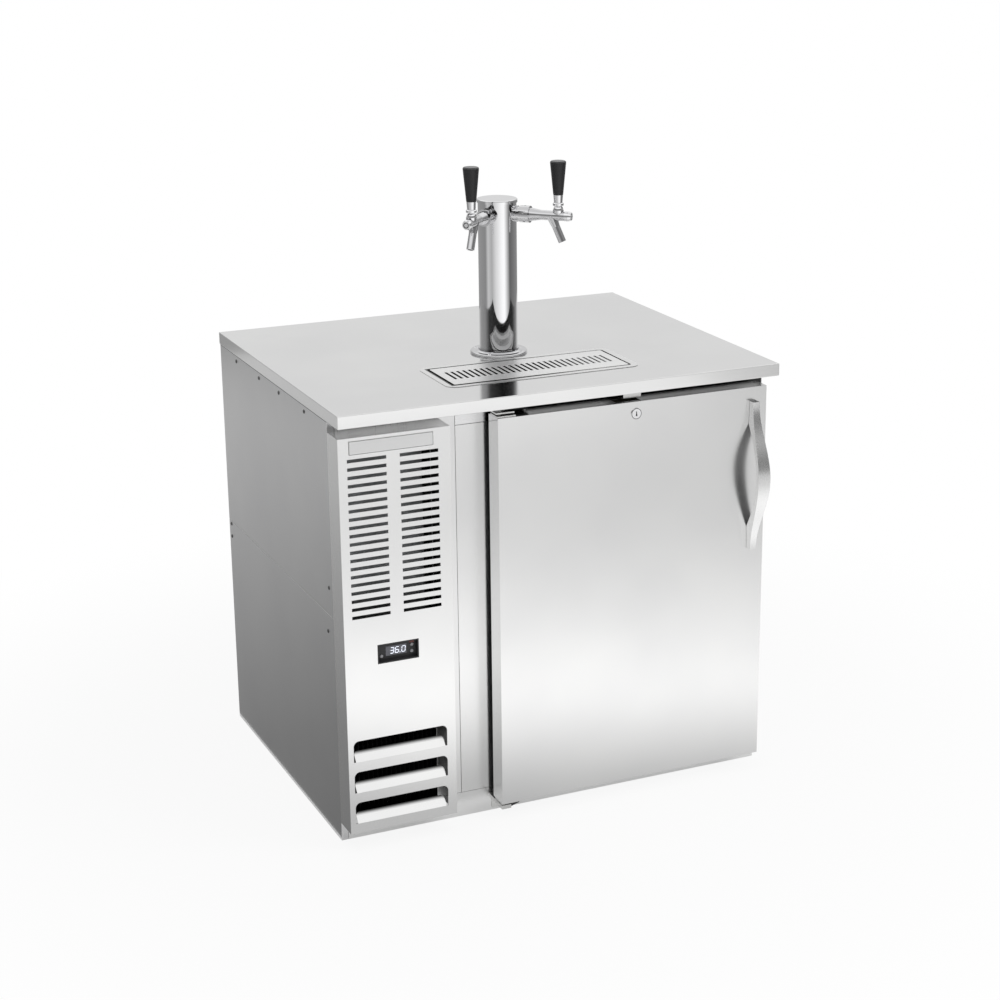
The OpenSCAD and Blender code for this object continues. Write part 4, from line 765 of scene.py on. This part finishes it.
# Face of the door lock: a dark line round it as painted shade in the gap, and the keyhole in its plug, drawn
# black as painted shade
lockFace = {"line": ((0.97, 0.0), (0.965, 0.00012), (0.87, 0.00012), (0.865, 0.0)), "parts": 48,
            "sunk": 0.0002, "proud": 0.00012,
            "keyhole": ((-0.0008, 0.0046), (-0.0011, -0.0006), (-0.0020, -0.0030), (-0.0012, -0.0046),
                        (0.0012, -0.0046), (0.0020, -0.0030), (0.0011, -0.0006), (0.0008, 0.0046))}


def buildLockFace(p):
    low, high = boxOf("lock_body")
    middle = Vector(((low.x + high.x) / 2, low.y, (low.z + high.z) / 2))
    bm = bmesh.new()
    place = turnedPlace(middle, Vector((0.0, -1.0, 0.0)))
    addTurned(bm, p["line"], (high.x - low.x) / 2, place, p["parts"], 0)
    addPiece("lockLine", meshFrom(bm, "lockLine", ["controlBlack"]), "door")
    bm = bmesh.new()
    corners = [(middle.x + x, low.y + p["sunk"], middle.z + z) for x, z in p["keyhole"]]
    addPrism(bm, corners, p["sunk"] + p["proud"])
    bmesh.ops.recalc_face_normals(bm, faces=bm.faces)
    return addPiece("keyhole", meshFrom(bm, "keyhole", ["controlBlack"]), "lock_core")


buildLockFace(lockFace)
print("lock face drawn")


# Black wedge beside the lower hinge's foot, tapered away from it: painted shadow on the base rail
hingeShoe = {"x": (-0.1212, -0.1040), "y": (-0.3568, -0.3360), "top": 0.0329, "near": 0.0268, "far": 0.0321}


def buildHingeShadowWedge(p):
    bm = bmesh.new()
    rings = []
    front, back = p["y"]
    for x, low in zip(p["x"], (p["near"], p["far"])):
        corners = ((front, low), (back, low), (back, p["top"]), (front, p["top"]))
        rings.append([bm.verts.new((x, y, z)) for y, z in corners])
    joinRings(bm, rings)
    closeEnds(bm, rings)
    return addPiece("hingeShoe", meshFrom(bm, "hingeShoe", ["controlBlack"]), "cabinet")


buildHingeShadowWedge(hingeShoe)
print("hinge shadow wedge fitted")


# Black cover over the upper hinge's screws
hingeCover = {"x": (-0.1005, -0.0665), "y": (-0.333, -0.3066), "z": (0.8267, 0.8385), "round": 0.0012}


def buildHingeCover(p):
    bm = bmesh.new()
    addBox(bm, *zip(p["x"], p["y"], p["z"]))
    roundEdges(bm, list(bm.edges), p["round"])
    mesh = weighNormals(meshFrom(bm, "hingeCover", ["controlBlack"]))
    return addPiece("hingeCover", mesh, "cabinet")


buildHingeCover(hingeCover)
print("hinge covered")


# Geometry trees: named inputs first, real geometry with its finish last
def startTree(name, inputs):
    tree = bpy.data.node_groups.new(name, "GeometryNodeTree")
    for label, kind in inputs.items():
        tree.interface.new_socket(name=label, in_out="INPUT", socket_type="NodeSocket" + kind)
    tree.interface.new_socket(name="Geometry", in_out="OUTPUT", socket_type="NodeSocketGeometry")
    return tree, addNode(tree, "NodeGroupInput")


def endTree(tree, shape, finishSocket):
    real = addNode(tree, "GeometryNodeRealizeInstances", {"Geometry": shape})[0]
    paint = addNode(tree, "GeometryNodeSetMaterial", {"Geometry": real, "Material": finishSocket})[0]
    addNode(tree, "NodeGroupOutput", {"Geometry": paint})
    return tree


def vectorOf(tree, **axes):
    return addNode(tree, "ShaderNodeCombineXYZ", axes)[0]


def runTree(name, tree, baseMesh, values):
    holder, modifier = startHolder(name, baseMesh, "NODES")
    modifier.node_group = tree
    for item in tree.interface.items_tree:
        if item.in_out == "INPUT" and item.name in values:
            modifier[item.identifier] = values[item.name]
    return takeMesh(holder, modifier, name)


# Screws: one tree puts a cross-recessed head on every point, facing its attribute
screwHead = {"corners": 20, "topShare": 0.72, "crossShare": 1.1}
screwKinds = {
    "rearScrews": {"head": 0.0042, "tall": 0.0012, "slot": 0.0011, "finish": "zincPlate",
                   "slotName": "plated_steel"},
    "flangeScrews": {"head": 0.0036, "tall": 0.0011, "slot": 0.0010, "finish": "chromePlate",
                     "slotName": "chrome"},
}


def screwTree(p):
    tree, source = startTree("screwHeads", {"Points": "Geometry", "Head Radius": "Float",
                                            "Head Height": "Float", "Slot Width": "Float",
                                            "Finish": "Material"})
    radius, tall, slot = source["Head Radius"], source["Head Height"], source["Slot Width"]
    head = addNode(tree, "GeometryNodeMeshCone",
                   {"Vertices": p["corners"], "Radius Top": calc(tree, "MULTIPLY", radius, p["topShare"]),
                    "Radius Bottom": radius, "Depth": tall})["Mesh"]
    reach = calc(tree, "MULTIPLY", radius, p["crossShare"])
    arms = []
    for size in (vectorOf(tree, X=reach, Y=slot, Z=tall), vectorOf(tree, Y=reach, X=slot, Z=tall)):
        arm = addNode(tree, "GeometryNodeMeshCube", {"Size": size})["Mesh"]
        raised = {"Geometry": arm, "Translation": vectorOf(tree, Z=tall)}
        arms.append(addNode(tree, "GeometryNodeTransform", raised)["Geometry"])
    cut = addNode(tree, "GeometryNodeMeshBoolean", {"Mesh 1": head, "Mesh 2": arms}, operation="DIFFERENCE")
    facing = addNode(tree, "GeometryNodeInputNamedAttribute", {"Name": "facing"}, data_type="FLOAT_VECTOR")
    turn = addNode(tree, "FunctionNodeAlignRotationToVector", {"Vector": facing["Attribute"]}, axis="Z")
    placed = addNode(tree, "GeometryNodeInstanceOnPoints",
                     {"Points": source["Points"], "Instance": cut["Mesh"], "Rotation": turn["Rotation"]})
    return endTree(tree, placed["Instances"], source["Finish"])


def pointMesh(name, spots, facing):
    mesh = bpy.data.meshes.new(name)
    mesh.from_pydata(spots, [], [])
    directions = mesh.attributes.new("facing", "FLOAT_VECTOR", "POINT")
    for item in directions.data:
        item.vector = facing
    return mesh


screwHeads = screwTree(screwHead)


def addScrews(name, spots, facing):
    kind = screwKinds[name]
    mesh = runTree(name, screwHeads, pointMesh(name + "Points", spots, facing),
                   {"Head Radius": kind["head"], "Head Height": kind["tall"], "Slot Width": kind["slot"],
                    "Finish": finish[kind["finish"]]})
    return addPiece(name, mesh, "cabinet")


rearRows = {"inset": 0.014, "heights": (0.02, 0.29, 0.56, 0.825)}
flangeRing = {"middle": (0.0, -0.040), "radius": 0.0497, "height": 0.870, "count": 4, "start": 45.0}


def rearSpots(p):
    low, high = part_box("rear_panel")
    columns = (low[0] + p["inset"], 0.0, high[0] - p["inset"])
    return [(x, high[1], z) for x in columns for z in p["heights"]]


def ringSpots(p):
    turns = [math.radians(p["start"] + 360 * i / p["count"]) for i in range(p["count"])]
    x, y = p["middle"]
    return [(x + p["radius"] * math.cos(a), y + p["radius"] * math.sin(a), p["height"]) for a in turns]


screwSpots = {"rearScrews": (rearSpots(rearRows), (0, 1, 0)),
              "flangeScrews": (ringSpots(flangeRing), (0, 0, 1))}
for name, (spots, facing) in screwSpots.items():
    addScrews(name, spots, facing)
    print(name, "set:", len(spots))


# Wire guard in front of the evaporator fan: rings and spokes swept by one tree
fanGuard = {"middle": (0.1462, 0.1947, 0.6861), "rings": 6, "first": 0.011, "step": 0.0098, "past": 0.004,
            "wire": 0.0011, "spokes": 4, "ringCorners": 56, "wireCorners": 8}


def guardTree(p):
    tree, source = startTree("wireGuard", {"Base": "Geometry", "Rings": "Int", "First Radius": "Float",
                                           "Ring Step": "Float", "Wire Radius": "Float", "Spokes": "Int",
                                           "Reach": "Float", "Finish": "Material"})
    index = addNode(tree, "GeometryNodeInputIndex")[0]
    first = source["First Radius"]
    ringPoints = addNode(tree, "GeometryNodePoints", {"Count": source["Rings"]})[0]
    circle = addNode(tree, "GeometryNodeCurvePrimitiveCircle",
                     {"Resolution": p["ringCorners"], "Radius": 1.0})
    ringSize = calc(tree, "MULTIPLY_ADD", index, source["Ring Step"], first)
    rings = addNode(tree, "GeometryNodeInstanceOnPoints",
                    {"Points": ringPoints, "Instance": circle["Curve"], "Scale": ringSize})[0]
    spokePoints = addNode(tree, "GeometryNodePoints", {"Count": source["Spokes"]})[0]
    spoke = addNode(tree, "GeometryNodeCurvePrimitiveLine",
                    {"Start": vectorOf(tree, X=first), "End": vectorOf(tree, X=source["Reach"])})
    angle = calc(tree, "MULTIPLY", index, calc(tree, "DIVIDE", 2 * math.pi, source["Spokes"]))
    turn = vectorOf(tree, Z=angle)
    spokes = addNode(tree, "GeometryNodeInstanceOnPoints",
                     {"Points": spokePoints, "Instance": spoke["Curve"], "Rotation": turn})[0]
    both = addNode(tree, "GeometryNodeJoinGeometry", {"Geometry": [spokes, rings]})[0]
    curves = addNode(tree, "GeometryNodeRealizeInstances", {"Geometry": both})[0]
    wire = addNode(tree, "GeometryNodeCurvePrimitiveCircle",
                   {"Resolution": p["wireCorners"], "Radius": source["Wire Radius"]})
    swept = addNode(tree, "GeometryNodeCurveToMesh",
                    {"Curve": curves, "Profile Curve": wire["Curve"], "Fill Caps": True})
    return endTree(tree, swept["Mesh"], source["Finish"])


def buildFanGuard(p):
    reach = p["first"] + p["step"] * (p["rings"] - 1) + p["past"]
    mesh = runTree("fanGuard", guardTree(p), bpy.data.meshes.new("guardBase"),
                   {"Rings": p["rings"], "First Radius": p["first"], "Ring Step": p["step"],
                    "Wire Radius": p["wire"], "Spokes": p["spokes"], "Reach": reach,
                    "Finish": finish["zincPlate"]})
    mesh.transform(Matrix.Translation(p["middle"]) @ Matrix.Rotation(math.radians(90), 4, "X"))
    for poly in mesh.polygons:
        poly.use_smooth = True
    return addPiece("fanGuard", mesh, "cabinet")


buildFanGuard(fanGuard)
print("fan guard woven")


# Studio: pale floor, white surround, soft lamps, and cards that only mirrors see
studio = {"floorSize": 40.0, "floorHeight": -0.0005, "floorTone": 0.86, "mirrorShare": 0.45,
          "nearWhite": 0.90, "farWhite": 1.0, "whiteFrom": 0.7, "whiteTo": 1.7,
          "fill": 0.36, "firstDepth": 2.0, "secondDepth": 3.0,  # ray depths at the first and second mirror
          "mirrorTop": 1.12, "topFrom": 0.30, "topTo": 0.62,
          "overhead": 0.85, "overFrom": 0.70, "overTo": 0.92}
lamps = (
    {"name": "keySoftbox", "place": (2.4, -2.6, 2.9), "aim": (0.0, 0.0, 0.5), "size": 2.2, "power": 62.0},
    {"name": "topSoftbox", "place": (-0.2, -0.2, 3.4), "aim": (0.0, 0.0, 0.5), "size": 2.8, "power": 42.0},
)
# Tones that mirrors see, by turn from the front in degrees, right of it positive
wallTones = ((-180, 0.62), (-150, 0.36), (-90, 0.26), (0, 0.20), (90, 0.26), (110, 0.36), (130, 0.74),
             (168, 0.75), (180, 0.62))
# The same for a mirror that is seen in a mirror: its front is dark
againTones = ((-180, 0.62), (-150, 0.36), (-110, 0.28), (-80, 0.04), (0, 0.0), (70, 0.03), (95, 0.20),
              (110, 0.36), (130, 0.74), (180, 0.62))
ringTones = ((-180, 0.34), (-100, 0.27), (-82, 0.62), (-58, 0.46), (-38, 0.72), (0, 1.10), (16, 1.16),
             (34, 0.62), (52, 0.14), (90, 0.22), (125, 0.28), (180, 0.34))
floorRing = {"name": "floorRing", "near": 3.3, "far": 12.0, "height": 0.002, "parts": 48}
# Strips of floor that the front and the left side mirror: tones by distance, which may lean and drift across
frontStrip = {"name": "frontStrip", "x": (-0.75, 1.85), "y": (-3.5, -0.361), "height": 0.004,
              "from": -0.36, "to": -3.5, "slope": -0.3, "shift": 0.045,
              "tones": ((0.0, 0.55), (0.035, 0.65), (0.10, 0.92), (0.16, 1.19), (0.22, 1.19), (0.38, 0.96),
                        (0.60, 0.77), (0.74, 0.77), (0.88, 0.90), (1.0, 1.08)),
              "drift": (0.0, 1.3, 1.03, 0.90)}
sideStrip = {"name": "sideStrip", "x": (-1.75, -0.458), "y": (-0.7, 3.6), "height": 0.004,
             "from": -0.4, "to": 3.4, "slope": 0.0, "shift": 0.0,
             "tones": ((0.0, 0.18), (0.16, 0.22), (0.28, 0.29), (0.42, 0.37), (0.59, 0.47), (0.82, 0.59),
                       (1.0, 0.63)),
             "drift": (-1.4, -0.6, 0.93, 1.07)}
# Cloth that gives its own tone and mirrors nothing
darkCloth = {"Base Color": (0.0, 0.0, 0.0, 1.0), "Roughness": 1.0, "Specular IOR Level": 0.0,
             "Emission Strength": 1.0}


def rayFact(tree, fact):
    return addNode(tree, "ShaderNodeLightPath")[fact]


def seenDirectly(tree):
    return calc(tree, "MAXIMUM", rayFact(tree, "Is Camera Ray"), rayFact(tree, "Is Transmission Ray"))


# Turn of a point or a direction round the object, as a share of a circle: a half is the front
def turnShare(tree, vector):
    axes = splitAxes(tree, vector)
    angle = calc(tree, "ARCTAN2", axes["X"], calc(tree, "MULTIPLY", axes["Y"], -1.0))
    return rangeOf(tree, angle, -math.pi, math.pi)


def turnTones(tree, turn, tones):
    return toneRamp(tree, turn, [((angle + 180) / 360, tone) for angle, tone in tones])


# White for the camera; wall tones, a pale band and an overhead tone for mirrors; an even fill for the rest
def addWorld(p, once, again):
    world = bpy.data.worlds.new("studioWorld")
    world.use_nodes = True
    scene.world = world
    tree = world.node_tree
    tree.nodes.clear()
    direction = addNode(tree, "ShaderNodeTexCoord")["Generated"]
    turn = turnShare(tree, direction)
    height = splitAxes(tree, direction)["Z"]
    bounces = smoothRange(tree, rayFact(tree, "Ray Depth"), p["firstDepth"], p["secondDepth"])
    wall = blend(tree, bounces, turnTones(tree, turn, once), turnTones(tree, turn, again))
    over = smoothRange(tree, height, p["overFrom"], p["overTo"])
    top = blend(tree, over, p["mirrorTop"], p["overhead"])
    mirror = blend(tree, smoothRange(tree, height, p["topFrom"], p["topTo"]), wall, top)
    unseen = blend(tree, rayFact(tree, "Is Glossy Ray"), p["fill"], mirror)
    tone = blend(tree, seenDirectly(tree), unseen, 1.0)
    back = addNode(tree, "ShaderNodeBackground", {"Color": (1, 1, 1, 1), "Strength": tone})[0]
    addNode(tree, "ShaderNodeOutputWorld", {"Surface": back})


def flatCorners(x, y, height):
    return [(x[0], y[0], height), (x[1], y[0], height), (x[1], y[1], height), (x[0], y[1], height)]


def addStage(name, corners, faces, mat):
    mesh = bpy.data.meshes.new(name)
    mesh.from_pydata(corners, [], faces)
    mesh.materials.append(mat)
    obj = bpy.data.objects.new(name, mesh)
    scene.collection.objects.link(obj)
    return obj


# The floor fades to plain white away from the object, and keeps the soft shadow near it
def addFloor(p):
    mat = bpy.data.materials.new("floorPale")
    mat.use_nodes = True
    tree = mat.node_tree
    tree.nodes.clear()
    tone = p["floorTone"]
    paint = addNode(tree, "ShaderNodeBsdfDiffuse", {"Color": (tone, tone, tone, 1)})[0]
    white = addNode(tree, "ShaderNodeEmission", {"Color": (1, 1, 1, 1), "Strength": 1.0})[0]
    away = addNode(tree, "ShaderNodeVectorMath", {0: objectPlace(tree)}, operation="LENGTH")["Value"]
    fade = smoothRange(tree, away, p["whiteFrom"], p["whiteTo"], p["nearWhite"], p["farWhite"])
    mirrored = blend(tree, rayFact(tree, "Is Glossy Ray"), 0.0, p["mirrorShare"])
    share = blend(tree, seenDirectly(tree), mirrored, fade)
    mix = addNode(tree, "ShaderNodeMixShader", {0: share, 1: paint, 2: white})[0]
    addNode(tree, "ShaderNodeOutputMaterial", {"Surface": mix})
    reach = (-p["floorSize"] / 2, p["floorSize"] / 2)
    addStage("studioFloor", flatCorners(reach, reach, p["floorHeight"]), [(0, 1, 2, 3)], mat)


def addLamp(p):
    data = bpy.data.lights.new(p["name"], "AREA")
    data.shape = "SQUARE"
    data.size = p["size"]
    data.energy = p["power"]
    addAimed(p["name"], data, p["place"], p["aim"]).visible_glossy = False


def addMirrorCard(name, corners, faces, mat):
    card = addStage(name, corners, faces, mat)
    card.visible_camera = False
    card.visible_diffuse = False
    card.visible_shadow = False
    card.visible_transmission = False


def addFloorRing(p, tones):
    mat, tree, skin = startMaterial(p["name"] + "Cloth")
    tone = turnTones(tree, turnShare(tree, objectPlace(tree)), tones)
    feed(tree, skin, {**darkCloth, "Emission Color": tone})
    count = p["parts"]
    turns = [2 * math.pi * i / count for i in range(count)]
    corners = [(reach * math.sin(a), -reach * math.cos(a), p["height"])
               for reach in (p["near"], p["far"]) for a in turns]
    faces = [(i, (i + 1) % count, count + (i + 1) % count, count + i) for i in range(count)]
    addMirrorCard(p["name"], corners, faces, mat)


def addFloorStrip(p):
    mat, tree, skin = startMaterial(p["name"] + "Cloth")
    axes = splitAxes(tree, objectPlace(tree))
    lean = rangeOf(tree, axes["X"], 0.0, 1.0, p["shift"], p["shift"] + p["slope"], clamp=False)
    away = rangeOf(tree, calc(tree, "ADD", axes["Y"], lean), p["from"], p["to"])
    tone = multiply(tree, toneRamp(tree, away, p["tones"]), rangeOf(tree, axes["X"], *p["drift"]))
    feed(tree, skin, {**darkCloth, "Emission Color": tone})
    addMirrorCard(p["name"], flatCorners(p["x"], p["y"], p["height"]), [(0, 1, 2, 3)], mat)


addWorld(studio, wallTones, againTones)
addFloor(studio)
for lamp in lamps:
    addLamp(lamp)
addFloorRing(floorRing, ringTones)
for strip in (frontStrip, sideStrip):
    addFloorStrip(strip)
print("studio lit")
